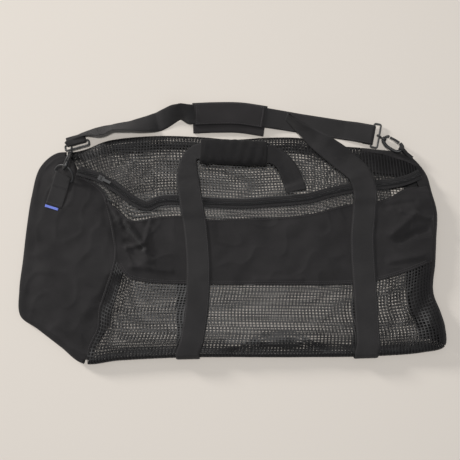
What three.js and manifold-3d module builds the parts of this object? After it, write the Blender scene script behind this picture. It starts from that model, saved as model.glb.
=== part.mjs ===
// A mesh duffel for wet gear, lying flat and empty with its front up.
// Lengths are in millimetres and +Z is up. The bag is drawn in a frame whose x runs along it
// and whose y runs from its bottom to its top. The tables give places as shares of the bag's
// length (u, from the left) and of its height (v, from the bottom).
import * as THREE from "three";
import { mergeVertices } from "three/addons/utils/BufferGeometryUtils.js";
import Module from "manifold-3d";

const wasm = await Module();
wasm.setup();

// The bag
const bagLength = 810;
const bagHeight = 435;
const loft = 26; // front of the bag above the floor
const edgeDrop = 6; // how far the front falls towards the folds
const edgeReach = 22; // how far in from the outline that fall reaches
const foldInset = 9; // half width of the rounded folds at the outline
const meshWall = 1.6;
const clothWall = 1.4;
const seamGap = 0.4; // between panels that meet edge to edge
const lapGap = 0.5; // between layers that lie on each other
const lapWidth = 7; // how far a panel reaches under the next one
const endUnderReach = 82; // how far the folded end panels reach back under the bag

// Straps
const webbingWall = 1.6;
const handleWidth = 44;
const shoulderWidth = 38;
const tabWidth = 32.6;
const tabLength = 60;
const rightTabWidth = 6.4;
const rightTabLength = 26;
const tagLength = 26;
const tagWidth = 5;
const tagWall = 1;

// Handle wrap and shoulder pad
const wrapLength = 125;
const wrapWidth = 48;
const wrapHeight = 25;
const wrapWall = 4.5;
const padLength = 148;
const padCoverWidth = 44;
const padBaseWidth = 60;
const padBaseOffset = 6.5; // the base's middle lies this far below the strap's
const padBaseHeight = 6;
const padCoverWall = 2.2;
const padSlot = 2.4; // room for the strap under the cover

// Zipper
const tapeWidth = 19;
const tapeWall = 1.2;
const coilWidth = 5;
const coilHeight = 2;
const meshUnderTape = 5; // distance from the coil's middle to the mesh edges under the tape
const sliderLength = 12;
const sliderWidth = 9.5;
const sliderHeight = 3;
const pullLength = 20;
const pullWidth = 5;
const pullWall = 1.4;
const pullPinRadius = 0.9;
const pullEyeRadius = 2.3;

// Strap rings, hooks and the D ring
const ringWire = 1.8; // radius
const ringWidth = 46.4; // along the bars, wire middle to wire middle
const ringDepth = 13;
const swivelWire = 1.4; // radius
const swivelPost = 1.6; // radius
const swivelHead = 2.9; // radius
const swivelHeadLength = 2;
const runGap = 0.35; // running clearance
const eyeGap = 1; // between the swivel's eye and the ring's bar
const collarStart = 7.2; // from the middle of the ring's bar
const collarLength = 6;
const collarRadius = 4.6;
const hookLength = 51; // from the ring's bar to the middle of the hook's tip
const hookHalfWidth = 10;
const hookWire = 3; // radius
const gateWire = 2.1; // radius
const gateHinge = 21; // from the ring's bar
const noseBack = 9.5; // how far the hook's nose stops short of its tip
const eyeShift = 12; // the left swivel stands this far from the middle of its ring
const dRingWire = 1.75; // radius
const dRingWidth = 39.4;
const dRingDepth = 26;

const black = new THREE.MeshStandardMaterial({ color: 0x2f2d2e, roughness: 0.85 });
const cloth = new THREE.MeshStandardMaterial({ color: 0x343233, roughness: 0.9 });
const net = new THREE.MeshStandardMaterial({ color: 0x232223, roughness: 0.55 });
const webbing = new THREE.MeshStandardMaterial({ color: 0x383637, roughness: 0.8 });
const metal = new THREE.MeshStandardMaterial({ color: 0x2a2a2b, roughness: 0.4, metalness: 0.7 });
const blue = new THREE.MeshStandardMaterial({ color: 0x6e7ddc, roughness: 0.7 });

const bag = new THREE.Group();

function addMesh(name, geometry, material) {
  const mesh = new THREE.Mesh(geometry, material);
  mesh.name = name;
  bag.add(mesh);
  return mesh;
}

// Solids from points

function closedSolid(points, faces) {
  let volume = 0;
  for (let i = 0; i < faces.length; i += 3) {
    const [a, b, c] = [points[faces[i]], points[faces[i + 1]], points[faces[i + 2]]];
    volume += a.dot(b.clone().cross(c));
  }
  const order = volume > 0 ? faces : faces.slice().reverse();
  const geometry = new THREE.BufferGeometry().setFromPoints(points);
  geometry.setIndex(order);
  geometry.computeVertexNormals();
  return geometry;
}

// A sheet with a wall: two grids of points, one for each side, closed round their edges.
function sheet(outer, inner) {
  const rows = outer.length;
  const columns = outer[0].length;
  const points = [...outer.flat(), ...inner.flat()];
  const at = (side, i, j) => (side * rows + i) * columns + j;
  const faces = [];
  const quad = (a, b, c, d) => faces.push(a, b, c, a, c, d);
  for (let i = 0; i + 1 < rows; i++) {
    for (let j = 0; j + 1 < columns; j++) {
      quad(at(0, i, j), at(0, i + 1, j), at(0, i + 1, j + 1), at(0, i, j + 1));
      quad(at(1, i, j), at(1, i, j + 1), at(1, i + 1, j + 1), at(1, i + 1, j));
    }
  }
  const m = columns - 1;
  const n = rows - 1;
  for (let i = 0; i < n; i++) {
    quad(at(0, i + 1, 0), at(0, i, 0), at(1, i, 0), at(1, i + 1, 0));
    quad(at(0, i, m), at(0, i + 1, m), at(1, i + 1, m), at(1, i, m));
  }
  for (let j = 0; j < m; j++) {
    quad(at(0, 0, j), at(0, 0, j + 1), at(1, 0, j + 1), at(1, 0, j));
    quad(at(0, n, j + 1), at(0, n, j), at(1, n, j), at(1, n, j + 1));
  }
  return closedSolid(points, faces);
}

// A bar through rings of points, closed at both ends, or joined end to end. Facets on opposite
// sides are split along the same diagonal, so that a thin twisted strap keeps its wall.
function bar(rings, joined = false) {
  const sides = rings[0].length;
  const points = rings.flat();
  const faces = [];
  const last = joined ? rings.length : rings.length - 1;
  for (let i = 0; i < last; i++) {
    const next = (i + 1) % rings.length;
    for (let k = 0; k < sides; k++) {
      const k2 = (k + 1) % sides;
      const [a, b] = [i * sides + k, next * sides + k];
      const [c, d] = [next * sides + k2, i * sides + k2];
      if (k < sides / 2) faces.push(a, b, c, a, c, d);
      else faces.push(a, b, d, b, c, d);
    }
  }
  if (!joined) {
    const end = (rings.length - 1) * sides;
    for (let k = 1; k + 1 < sides; k++) {
      faces.push(0, k, k + 1);
      faces.push(end, end + k + 1, end + k);
    }
  }
  return closedSolid(points, faces);
}

// A round wire along points in a plane; normal is that plane's normal.
function wire(path, normal, radius, sides = 8, joined = true) {
  const count = path.length;
  const rings = path.map((p, i) => {
    const before = path[joined ? (i + count - 1) % count : Math.max(i - 1, 0)];
    const after = path[joined ? (i + 1) % count : Math.min(i + 1, count - 1)];
    const side = after.clone().sub(before).normalize().cross(normal).normalize();
    return Array.from({ length: sides }, (_, k) => {
      const a = ((k + 0.5) * 2 * Math.PI) / sides;
      return p
        .clone()
        .addScaledVector(side, radius * Math.cos(a))
        .addScaledVector(normal, radius * Math.sin(a));
    });
  });
  return bar(rings, joined);
}

function asSolid(geometry) {
  const bare = geometry.clone();
  bare.deleteAttribute("normal");
  bare.deleteAttribute("uv");
  const merged = mergeVertices(bare, 1e-3);
  return new wasm.Manifold(
    new wasm.Mesh({
      numProp: 3,
      vertProperties: merged.attributes.position.array,
      triVerts: new Uint32Array(merged.index.array),
    }),
  );
}

function asGeometry(solid) {
  const mesh = solid.getMesh();
  const geometry = new THREE.BufferGeometry();
  geometry.setAttribute("position", new THREE.BufferAttribute(mesh.vertProperties, 3));
  geometry.setIndex(new THREE.BufferAttribute(mesh.triVerts, 1));
  geometry.computeVertexNormals();
  return geometry;
}

function fuse(...geometries) {
  return asGeometry(geometries.map(asSolid).reduce((whole, piece) => whole.add(piece)));
}

function cut(geometry, ...tools) {
  return asGeometry(tools.map(asSolid).reduce((whole, tool) => whole.subtract(tool), asSolid(geometry)));
}

// A cylinder between two points.
function rod(from, to, radius, sides = 12) {
  const length = from.distanceTo(to);
  const geometry = new THREE.CylinderGeometry(radius, radius, length, sides);
  const turn = new THREE.Quaternion().setFromUnitVectors(
    new THREE.Vector3(0, 1, 0),
    to.clone().sub(from).normalize(),
  );
  geometry.applyQuaternion(turn);
  const middle = from.clone().add(to).multiplyScalar(0.5);
  return geometry.translate(middle.x, middle.y, middle.z);
}

// Curves in the plane of the bag

const flat = (u, v) => new THREE.Vector3(u * bagLength, v * bagHeight, 0);

function curveThrough(points, closed = false) {
  const curve = new THREE.CatmullRomCurve3(points, closed, "centripetal");
  curve.arcLengthDivisions = 400;
  return curve;
}

// The share of a curve's length at which it passes closest to a place.
function nearestShare(curve, u, v) {
  const place = flat(u, v);
  const steps = 1200;
  let best = 0;
  let least = Infinity;
  for (let i = 0; i <= steps; i++) {
    const distance = curve.getPointAt(i / steps).distanceTo(place);
    if (distance < least) {
      least = distance;
      best = i / steps;
    }
  }
  return best;
}

// Outline of the lying bag, clockwise from the bottom left corner.
const outlineRows = [
  { u: 0.155, v: 0.0 }, { u: 0.103, v: 0.07 }, { u: 0.047, v: 0.148 }, { u: 0.006, v: 0.205 },
  { u: 0.002, v: 0.319 }, { u: 0.009, v: 0.45 }, { u: 0.016, v: 0.59 }, { u: 0.026, v: 0.729 },
  { u: 0.044, v: 0.86 }, { u: 0.082, v: 0.924 }, { u: 0.129, v: 0.93 }, { u: 0.157, v: 0.943 },
  { u: 0.199, v: 0.974 }, { u: 0.244, v: 0.989 }, { u: 0.335, v: 1.0 }, { u: 0.436, v: 0.993 },
  { u: 0.504, v: 0.983 }, { u: 0.591, v: 0.992 }, { u: 0.668, v: 0.989 }, { u: 0.736, v: 0.959 },
  { u: 0.84, v: 0.942 }, { u: 0.919, v: 0.921 }, { u: 0.944, v: 0.883 }, { u: 0.966, v: 0.825 },
  { u: 0.976, v: 0.749 }, { u: 0.987, v: 0.659 }, { u: 0.984, v: 0.537 }, { u: 0.98, v: 0.424 },
  { u: 0.975, v: 0.31 }, { u: 0.991, v: 0.218 }, { u: 1.0, v: 0.157 }, { u: 0.998, v: 0.074 },
  { u: 0.947, v: 0.048 }, { u: 0.837, v: 0.032 }, { u: 0.661, v: 0.027 }, { u: 0.392, v: 0.026 },
  { u: 0.239, v: 0.013 },
];
const outline = curveThrough(outlineRows.map(({ u, v }) => flat(u, v)), true);

// Places where the outline passes from one panel to the next.
const corners = {
  bottomLeft: nearestShare(outline, 0.165, 0.001),
  topLeft: nearestShare(outline, 0.115, 0.93),
  topRight: nearestShare(outline, 0.81, 0.948),
  zipperEnd: nearestShare(outline, 0.966, 0.825),
  bandTopEnd: nearestShare(outline, 0.972, 0.775),
  bandLowEnd: nearestShare(outline, 0.981, 0.44),
  bottomRight: nearestShare(outline, 0.998, 0.074),
};

function outlineAt(share) {
  const k = ((share % 1) + 1) % 1;
  const point = outline.getPointAt(k);
  const tangent = outline.getTangentAt(k);
  return { point, outward: new THREE.Vector3(-tangent.y, tangent.x, 0).normalize() };
}

// A point a given distance inside the outline.
function inside(share, distance) {
  const { point, outward } = outlineAt(share);
  return point.addScaledVector(outward, -distance);
}

const mix = (a, b, share) => a + (b - a) * share;
const shift = (p, x, y) => p.clone().add(new THREE.Vector3(x, y, 0));
const shiftZ = (p, z) => p.clone().add(new THREE.Vector3(0, 0, z));

// Seam of the left end panel, from the bottom up.
const leftSeamRows = [
  { u: 0.174, v: 0.079 }, { u: 0.192, v: 0.153 }, { u: 0.196, v: 0.236 }, { u: 0.211, v: 0.323 },
  { u: 0.231, v: 0.459 }, { u: 0.225, v: 0.559 }, { u: 0.213, v: 0.659 }, { u: 0.199, v: 0.738 },
  { u: 0.164, v: 0.793 }, { u: 0.135, v: 0.817 }, { u: 0.127, v: 0.86 },
];
const leftSeam = curveThrough([
  inside(corners.bottomLeft, foldInset),
  ...leftSeamRows.map(({ u, v }) => flat(u, v)),
  inside(corners.topLeft, foldInset),
]);

// Lower edge of the fabric band.
const bandLowRows = [
  { u: 0.258, v: 0.376 }, { u: 0.286, v: 0.358 }, { u: 0.321, v: 0.349 }, { u: 0.399, v: 0.344 },
  { u: 0.591, v: 0.341 }, { u: 0.779, v: 0.345 }, { u: 0.837, v: 0.358 }, { u: 0.908, v: 0.397 },
];
const bandLowStart = nearestShare(leftSeam, 0.231, 0.45);
const bandLow = curveThrough([
  leftSeam.getPointAt(bandLowStart),
  ...bandLowRows.map(({ u, v }) => flat(u, v)),
  inside(corners.bandLowEnd, foldInset),
]);

// Upper edge of the fabric band.
const bandTopRows = [
  { u: 0.232, v: 0.672 }, { u: 0.267, v: 0.617 }, { u: 0.321, v: 0.631 }, { u: 0.385, v: 0.638 },
  { u: 0.436, v: 0.624 }, { u: 0.549, v: 0.627 }, { u: 0.617, v: 0.631 }, { u: 0.687, v: 0.646 },
  { u: 0.739, v: 0.672 }, { u: 0.779, v: 0.69 }, { u: 0.842, v: 0.703 }, { u: 0.875, v: 0.722 },
  { u: 0.91, v: 0.757 },
];
const bandTopStart = nearestShare(leftSeam, 0.208, 0.7);
const bandTop = curveThrough([
  leftSeam.getPointAt(bandTopStart),
  ...bandTopRows.map(({ u, v }) => flat(u, v)),
  inside(corners.bandTopEnd, foldInset),
]);

// Middle line of the zipper.
const zipperRows = [
  { u: 0.139, v: 0.838 }, { u: 0.19, v: 0.808 }, { u: 0.232, v: 0.76 }, { u: 0.27, v: 0.707 },
  { u: 0.303, v: 0.681 }, { u: 0.333, v: 0.703 }, { u: 0.378, v: 0.707 }, { u: 0.432, v: 0.699 },
  { u: 0.532, v: 0.692 }, { u: 0.584, v: 0.699 }, { u: 0.682, v: 0.716 }, { u: 0.72, v: 0.736 },
  { u: 0.779, v: 0.76 }, { u: 0.837, v: 0.773 }, { u: 0.875, v: 0.781 }, { u: 0.917, v: 0.8 },
  { u: 0.945, v: 0.825 },
];
const zipper = curveThrough(zipperRows.map(({ u, v }) => flat(u, v)));

function besideZipper(share, distance) {
  const tangent = zipper.getTangentAt(share);
  return zipper.getPointAt(share).add(new THREE.Vector3(-tangent.y, tangent.x, 0).multiplyScalar(distance));
}

// Upper edge of the mesh above the zipper: it keeps the outline until the right end panel's
// corner flap comes in front of it.
const flapRows = [
  { u: 0.861, v: 0.915 }, { u: 0.896, v: 0.897 }, { u: 0.924, v: 0.878 }, { u: 0.94, v: 0.863 },
];
const topEdgeCount = 14;
const topEdge = curveThrough([
  ...Array.from({ length: topEdgeCount }, (_, i) =>
    inside(mix(corners.topLeft, corners.topRight, i / (topEdgeCount - 1)), foldInset)),
  ...flapRows.map(({ u, v }) => flat(u, v)),
]);

// Height of the front of the bag

// Folds and dents: a straight crest from (u1, v1) to (u2, v2), its half width as a share of the
// bag's height and its height, or depth if negative, as a share of the loft.
const foldRows = [
  { name: "seam crease", u1: 0.222, v1: 0.66, u2: 0.285, v2: 0.42, wide: 0.028, high: -0.17 },
  { name: "beside the crease", u1: 0.24, v1: 0.66, u2: 0.305, v2: 0.44, wide: 0.03, high: 0.16 },
  { name: "band corner", u1: 0.24, v1: 0.39, u2: 0.3, v2: 0.44, wide: 0.03, high: 0.13 },
  { name: "end panel edge", u1: 0.205, v1: 0.3, u2: 0.225, v2: 0.46, wide: 0.035, high: 0.12 },
  { name: "left mesh hollow", u1: 0.18, v1: 0.07, u2: 0.235, v2: 0.33, wide: 0.04, high: -0.2 },
  { name: "lower mesh hump", u1: 0.5, v1: 0.08, u2: 0.69, v2: 0.1, wide: 0.045, high: 0.2 },
  { name: "below the hump", u1: 0.52, v1: 0.035, u2: 0.7, v2: 0.045, wide: 0.02, high: -0.12 },
  { name: "right pouch", u1: 0.955, v1: 0.1, u2: 0.965, v2: 0.2, wide: 0.06, high: 0.14 },
  { name: "right crease", u1: 0.935, v1: 0.19, u2: 0.975, v2: 0.36, wide: 0.03, high: -0.16 },
  { name: "right wrinkle low", u1: 0.87, v1: 0.56, u2: 0.96, v2: 0.62, wide: 0.03, high: 0.1 },
  { name: "right wrinkle high", u1: 0.88, v1: 0.68, u2: 0.965, v2: 0.7, wide: 0.028, high: 0.1 },
  { name: "zipper rise", u1: 0.25, v1: 0.72, u2: 0.36, v2: 0.74, wide: 0.04, high: 0.12 },
  { name: "end panel dent", u1: 0.09, v1: 0.55, u2: 0.17, v2: 0.5, wide: 0.08, high: -0.08 },
  { name: "top left corner", u1: 0.06, v1: 0.9, u2: 0.13, v2: 0.9, wide: 0.1, high: -0.24 },
  { name: "top right corner", u1: 0.9, v1: 0.9, u2: 0.95, v2: 0.87, wide: 0.1, high: -0.3 },
];

function distanceToSegment(p, a, b) {
  const along = b.clone().sub(a);
  const share = THREE.MathUtils.clamp(p.clone().sub(a).dot(along) / along.lengthSq(), 0, 1);
  return p.distanceTo(a.clone().addScaledVector(along, share));
}

const outlineSamples = Array.from({ length: 240 }, (_, i) => outline.getPointAt(i / 240));
const endFallShare = 0.3; // the flattened left end is this much lower than the middle
const endFallReach = 0.2; // share of the length over which it rises

function frontHeight(p) {
  const place = new THREE.Vector3(p.x, p.y, 0);
  let nearest = Infinity;
  for (const sample of outlineSamples) {
    nearest = Math.min(nearest, sample.distanceTo(place));
  }
  let height = loft - edgeDrop * Math.exp(-((nearest / edgeReach) ** 2));
  const rise = THREE.MathUtils.smoothstep(place.x / bagLength, 0, endFallReach);
  height -= loft * endFallShare * (1 - rise);
  for (const { u1, v1, u2, v2, wide, high } of foldRows) {
    const distance = distanceToSegment(place, flat(u1, v1), flat(u2, v2));
    height += high * loft * Math.exp(-((distance / (wide * bagHeight)) ** 2));
  }
  return height;
}

// The greatest height of the front near a place.
const searchReach = 14;
function coverHeight(p) {
  let most = frontHeight(p);
  for (let k = 0; k < 8; k++) {
    const a = (k * Math.PI) / 4;
    most = Math.max(most, frontHeight(shift(p, searchReach * Math.cos(a), searchReach * Math.sin(a))));
  }
  return most;
}

// Height of what lies on the front: the zipper's tape and coil stand on it.
const tapeLevel = lapGap + tapeWall / 2;
const coilLevel = tapeLevel + tapeWall / 2 + lapGap / 2 + coilHeight / 2;
const zipperSamples = Array.from({ length: 160 }, (_, i) => {
  const point = zipper.getPointAt(i / 159);
  return { point, top: coverHeight(point) + coilLevel + coilHeight / 2 };
});

function topHeight(p) {
  const place = new THREE.Vector3(p.x, p.y, 0);
  let nearest = Infinity;
  let top = 0;
  for (const sample of zipperSamples) {
    const distance = sample.point.distanceTo(place);
    if (distance < nearest) {
      nearest = distance;
      top = sample.top;
    }
  }
  const cover = 1 - THREE.MathUtils.smoothstep(nearest, 0.55 * tapeWidth, 1.1 * tapeWidth);
  return mix(frontHeight(p), Math.max(top, frontHeight(p)), cover);
}

// The highest that the front comes within a distance of a place.
function restHeight(p, reach) {
  let most = topHeight(p);
  for (let k = 0; k < 8; k++) {
    const a = (k * Math.PI) / 4;
    const near = new THREE.Vector3(p.x + reach * Math.cos(a), p.y + reach * Math.sin(a), 0);
    most = Math.max(most, topHeight(near));
  }
  return most;
}

// Layers of the bag
const lapLevel = meshWall + lapGap; // a layer that lies under the front is this much lower
const underWebbing = webbingWall + lapGap; // clear of the webbing that runs under the bag
const backLevel = underWebbing + 2 * meshWall + lapGap; // upper side of the back mesh

// The least height of the front near a place, less the layer above.
function lapHeight(p) {
  let least = frontHeight(p);
  for (let k = 0; k < 8; k++) {
    const a = (k * Math.PI) / 4;
    least = Math.min(least, frontHeight(shift(p, searchReach * Math.cos(a), searchReach * Math.sin(a))));
  }
  return least - lapLevel;
}

// The greatest height near a place of what lies under the front, such as an end panel.
function underFrontHeight(p, reach) {
  let most = lapHeight(p);
  for (let k = 0; k < 8; k++) {
    const a = (k * Math.PI) / 4;
    most = Math.max(most, lapHeight(shift(p, reach * Math.cos(a), reach * Math.sin(a))));
  }
  return most;
}

// Panels of the front

// A panel between a lower and an upper line, closed by a left and a right line.
function panel(low, high, left, right, columns, rows, wall, height) {
  const outer = [];
  const inner = [];
  const [a, b, c, d] = [low(0), low(1), high(0), high(1)];
  for (let j = 0; j <= rows; j++) {
    const t = j / rows;
    const outerRow = [];
    const innerRow = [];
    for (let i = 0; i <= columns; i++) {
      const s = i / columns;
      const p = new THREE.Vector3();
      p.addScaledVector(low(s), 1 - t).addScaledVector(high(s), t);
      p.addScaledVector(left(t), 1 - s).addScaledVector(right(t), s);
      p.addScaledVector(a, -(1 - s) * (1 - t)).addScaledVector(b, -s * (1 - t));
      p.addScaledVector(c, -(1 - s) * t).addScaledVector(d, -s * t);
      const z = height(p);
      outerRow.push(new THREE.Vector3(p.x, p.y, z));
      innerRow.push(new THREE.Vector3(p.x, p.y, z - wall));
    }
    outer.push(outerRow);
    inner.push(innerRow);
  }
  return sheet(outer, inner);
}

const seamFrom = (k0, k1) => (t) => leftSeam.getPointAt(mix(k0, k1, t));
const edgeFrom = (k0, k1) => (t) => inside(mix(k0, k1, t), foldInset);
const straight = (a, b) => (t) => a.clone().lerp(b, t);
const frontColumns = 26;
const half = seamGap / 2;

// Lower mesh, from the bottom fold up to the band. The outline's shares run clockwise and end at
// the bottom left corner, so the bottom edge runs against them.
const bottomEdge = edgeFrom(corners.bottomLeft, corners.bottomRight);
const lowerMeshTop = (s) => shift(bandLow.getPointAt(s), 0, -half);
addMesh(
  "front_lower_mesh",
  panel(bottomEdge, lowerMeshTop, seamFrom(0, bandLowStart),
    edgeFrom(corners.bottomRight, corners.bandLowEnd), frontColumns, 7, meshWall, frontHeight),
  net,
);

const bandBottom = (s) => shift(bandLow.getPointAt(s), 0, half);
const bandUpper = (s) => shift(bandTop.getPointAt(s), 0, -half);
addMesh(
  "front_band",
  panel(bandBottom, bandUpper, seamFrom(bandLowStart, bandTopStart),
    edgeFrom(corners.bandLowEnd, corners.bandTopEnd), frontColumns, 7, clothWall, frontHeight),
  cloth,
);

// The strip stops where the zipper meets the band at the right. Its columns are the band's, so
// that the two meet edge to edge.
const stripColumns = frontColumns - 3;
const stripEnd = stripColumns / frontColumns;
const stripStart = nearestShare(leftSeam, 0.137, 0.815);
const stripLow = (s) => shift(bandTop.getPointAt(s * stripEnd), 0, half);
const stripEndPoint = bandTop.getPointAt(stripEnd);
const stripZipperEnd = nearestShare(zipper, stripEndPoint.x / bagLength, stripEndPoint.y / bagHeight);
const stripHigh = (s) => besideZipper(s * stripZipperEnd, -meshUnderTape);
addMesh(
  "front_mesh_strip",
  panel(stripLow, stripHigh, (t) => (t < 1 ? seamFrom(bandTopStart, stripStart)(t) : stripHigh(0)),
    straight(stripLow(1), stripHigh(1)), stripColumns, 2, meshWall, frontHeight),
  net,
);

const topMeshLow = (s) => besideZipper(s, meshUnderTape);
const topMeshHigh = (s) => topEdge.getPointAt(s);
addMesh(
  "top_mesh",
  panel(topMeshLow, topMeshHigh, straight(topMeshLow(0), topMeshHigh(0)),
    straight(topMeshLow(1), topMeshHigh(1)), frontColumns, 7, meshWall, frontHeight),
  net,
);


// Panels at the ends and folds

const foldSteps = 5;

// One section of a folded wall: from under the front, over the rounded fold, to the floor side.
// The laps and the under reaches are distances from the fold towards a place inside.
function foldSection(share, base, laps, underReaches, wall, towards) {
  const { outward } = outlineAt(share);
  const seat = inside(share, foldInset);
  const inwards = towards ? towards.clone().sub(seat).setZ(0).normalize() : outward.clone().negate();
  const top = lapHeight(seat);
  const middle = (top + base) / 2;
  const rise = (top - base) / 2;
  const outer = [];
  const inner = [];
  for (const reach of laps) {
    const p = seat.clone().addScaledVector(inwards, reach);
    p.z = lapHeight(p);
    outer.push(p);
    inner.push(shiftZ(p, -wall));
  }
  for (let k = 0; k <= foldSteps; k++) {
    const a = Math.PI / 2 - (k * Math.PI) / foldSteps;
    const outerPoint = seat.clone().addScaledVector(outward, foldInset * Math.cos(a));
    const innerPoint = seat.clone().addScaledVector(outward, (foldInset - wall) * Math.cos(a));
    outerPoint.z = middle + rise * Math.sin(a);
    innerPoint.z = middle + (rise - wall) * Math.sin(a);
    outer.push(outerPoint);
    inner.push(innerPoint);
  }
  for (const reach of underReaches) {
    const p = seat.clone().addScaledVector(inwards, reach);
    p.z = base;
    outer.push(p);
    inner.push(shiftZ(p, wall));
  }
  return [outer, inner];
}

// The laps narrow to a share of their width towards the start and the end of the wall.
function foldedWall(from, to, steps, base, laps, underReaches, wall, startLap = 1, endLap = 1) {
  const sections = Array.from({ length: steps + 1 }, (_, i) => {
    const t = i / steps;
    const lap = mix(mix(startLap, 1, Math.min(1, 6 * t)), endLap, Math.max(0, 6 * t - 5));
    return foldSection(mix(from, to, t), base, laps.map((reach) => reach * lap), underReaches, wall, null);
  });
  return sheet(sections.map(([outer]) => outer), sections.map(([, inner]) => inner));
}

const wallGap = (2 * seamGap) / outline.getLength();
const cornerTrim = (1.3 * lapWidth) / outline.getLength(); // the folds stop short of the left end
const foldLaps = [lapWidth, lapWidth / 2];
const flapLap = 2 * lapWidth;
const foldUnder = [1.6 * lapWidth];

addMesh(
  "bottom_fold",
  foldedWall(corners.bottomRight + 3 * wallGap, corners.bottomLeft - cornerTrim, 24, underWebbing,
    foldLaps, foldUnder, meshWall, 0.3, 0.3),
  net,
);
addMesh(
  "top_fold",
  foldedWall(corners.topLeft + cornerTrim, corners.topRight - wallGap, 22, underWebbing,
    foldLaps, foldUnder, meshWall, 0.3),
  net,
);
addMesh(
  "end_right_panel",
  foldedWall(corners.topRight + wallGap, corners.bottomRight - 3 * wallGap, 22, 0,
    [flapLap, flapLap / 2], [foldUnder[0], endUnderReach / 2], clothWall, 1, 0.3),
  cloth,
);

// The left end panel lies folded flat: its front half runs from under the seam to the fold at
// the far left, and its other half goes back under the bag.
const endRows = 16;
const endColumns = 6;
const endShareTrim = 0.012; // keeps the panel's ends a little wider than nothing
const leftSections = Array.from({ length: endRows + 1 }, (_, i) => {
  const t = i / endRows;
  const share = mix(corners.bottomLeft - 1, corners.topLeft, mix(endShareTrim, 1 - endShareTrim, t));
  const seamPoint = leftSeam.getPointAt(t);
  const span = seamPoint.distanceTo(inside(share, foldInset));
  const reach = span + lapWidth;
  const laps = Array.from({ length: endColumns }, (_, j) => reach * (1 - j / endColumns));
  const under = Math.min(endUnderReach, span);
  return foldSection(share, 0, laps, [under / 2, under], clothWall, seamPoint);
});
addMesh(
  "end_left_panel",
  sheet(leftSections.map(([outer]) => outer), leftSections.map(([, inner]) => inner)),
  cloth,
);

// The back lies flat inside the folds.
const backInset = foldInset + 1.5;
const backCorner = 0.03; // share of the top edge at which the back begins
const backEdge = (k0, k1) => (t) => inside(mix(k0, k1, t), backInset);
const backLow = backEdge(corners.bottomLeft, corners.bottomRight);
const backHigh = backEdge(mix(corners.topLeft, corners.zipperEnd, backCorner), corners.zipperEnd);
const backSeam = (t) => {
  if (t === 0) return backLow(0);
  return t === 1 ? backHigh(0) : shift(leftSeam.getPointAt(t), lapWidth, 0);
};
addMesh(
  "back_mesh",
  panel(backLow, backHigh, backSeam, backEdge(corners.bottomRight, corners.zipperEnd),
    18, 6, meshWall, () => backLevel),
  net,
);

// Zipper

// A flat band through stations, each with a middle point, the direction of its width and a width.
function ribbon(stations, wall) {
  const rings = stations.map(({ p, side, width }, i) => {
    const before = stations[Math.max(i - 1, 0)].p;
    const after = stations[Math.min(i + 1, stations.length - 1)].p;
    const tangent = after.clone().sub(before).normalize();
    const across = side.clone().addScaledVector(tangent, -side.dot(tangent)).normalize();
    const up = across.clone().cross(tangent).normalize();
    const corner = (a, b) =>
      p.clone().addScaledVector(across, (a * width) / 2).addScaledVector(up, (b * wall) / 2);
    return [corner(1, 1), corner(-1, 1), corner(-1, -1), corner(1, -1)];
  });
  return bar(rings);
}

const zipperSteps = 44;
function zipperStations(width, level) {
  return Array.from({ length: zipperSteps + 1 }, (_, i) => {
    const share = i / zipperSteps;
    const p = zipper.getPointAt(share);
    const tangent = zipper.getTangentAt(share);
    return { p: shiftZ(p, coverHeight(p) + level), side: new THREE.Vector3(-tangent.y, tangent.x, 0), width };
  });
}
addMesh("zipper_tape", ribbon(zipperStations(tapeWidth, tapeLevel), tapeWall), black);
addMesh("zipper_coil", ribbon(zipperStations(coilWidth, coilLevel), coilHeight), black);

// Straps

// A flat strap through stations; its width keeps the direction that each station gives.
function strap(stations, wall) {
  const rings = stations.map(({ p, side, width }, i) => {
    const before = stations[Math.max(i - 1, 0)].p;
    const after = stations[Math.min(i + 1, stations.length - 1)].p;
    const up = side.clone().cross(after.clone().sub(before).normalize()).normalize();
    const corner = (a, b) =>
      p.clone().addScaledVector(side, (a * width) / 2).addScaledVector(up, (b * wall) / 2);
    return [corner(1, 1), corner(-1, 1), corner(-1, -1), corner(1, -1)];
  });
  return bar(rings);
}

const degrees = THREE.MathUtils.degToRad;

// A direction from its azimuth and its slope, in degrees.
function direction(azimuth, slope = 0) {
  const a = degrees(azimuth);
  const b = degrees(slope);
  return new THREE.Vector3(Math.cos(b) * Math.cos(a), Math.cos(b) * Math.sin(a), Math.sin(b));
}

// A strap's rows are places with what the strap rests on (rest: 1 the bag, 0 the floor), its
// clearance above that as a share of the loft, the azimuth of its width (across), the slope of
// its width (tip) and its width as a share of the strap's. A sloping strap stands on its lower
// edge.
const strapReach = 16;

function strapStations(rows, width, perSpan) {
  const line = new THREE.CatmullRomCurve3(rows.map(({ u, v }) => flat(u, v)), false, "centripetal");
  const spans = rows.length - 1;
  return Array.from({ length: spans * perSpan + 1 }, (_, i) => {
    const k = Math.min(Math.floor(i / perSpan), spans - 1);
    const t = i / perSpan - k;
    const between = (name) => mix(rows[k][name], rows[k + 1][name], t);
    const p = line.getPoint(i / (spans * perSpan));
    const wide = width * between("wide");
    const rest = between("rest");
    const support = rest > 0 ? rest * restHeight(p, strapReach) : 0;
    const lowerEdge = (Math.abs(Math.sin(degrees(between("tip")))) * wide) / 2;
    p.z = support + between("high") * loft + lowerEdge;
    return { p, side: direction(between("across"), between("tip")), width: wide };
  });
}

const onFront = (2 * lapGap + webbingWall / 2) / loft; // a strap that lies on the front
const onFloor = webbingWall / 2 / loft; // a strap that lies on the floor

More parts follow.
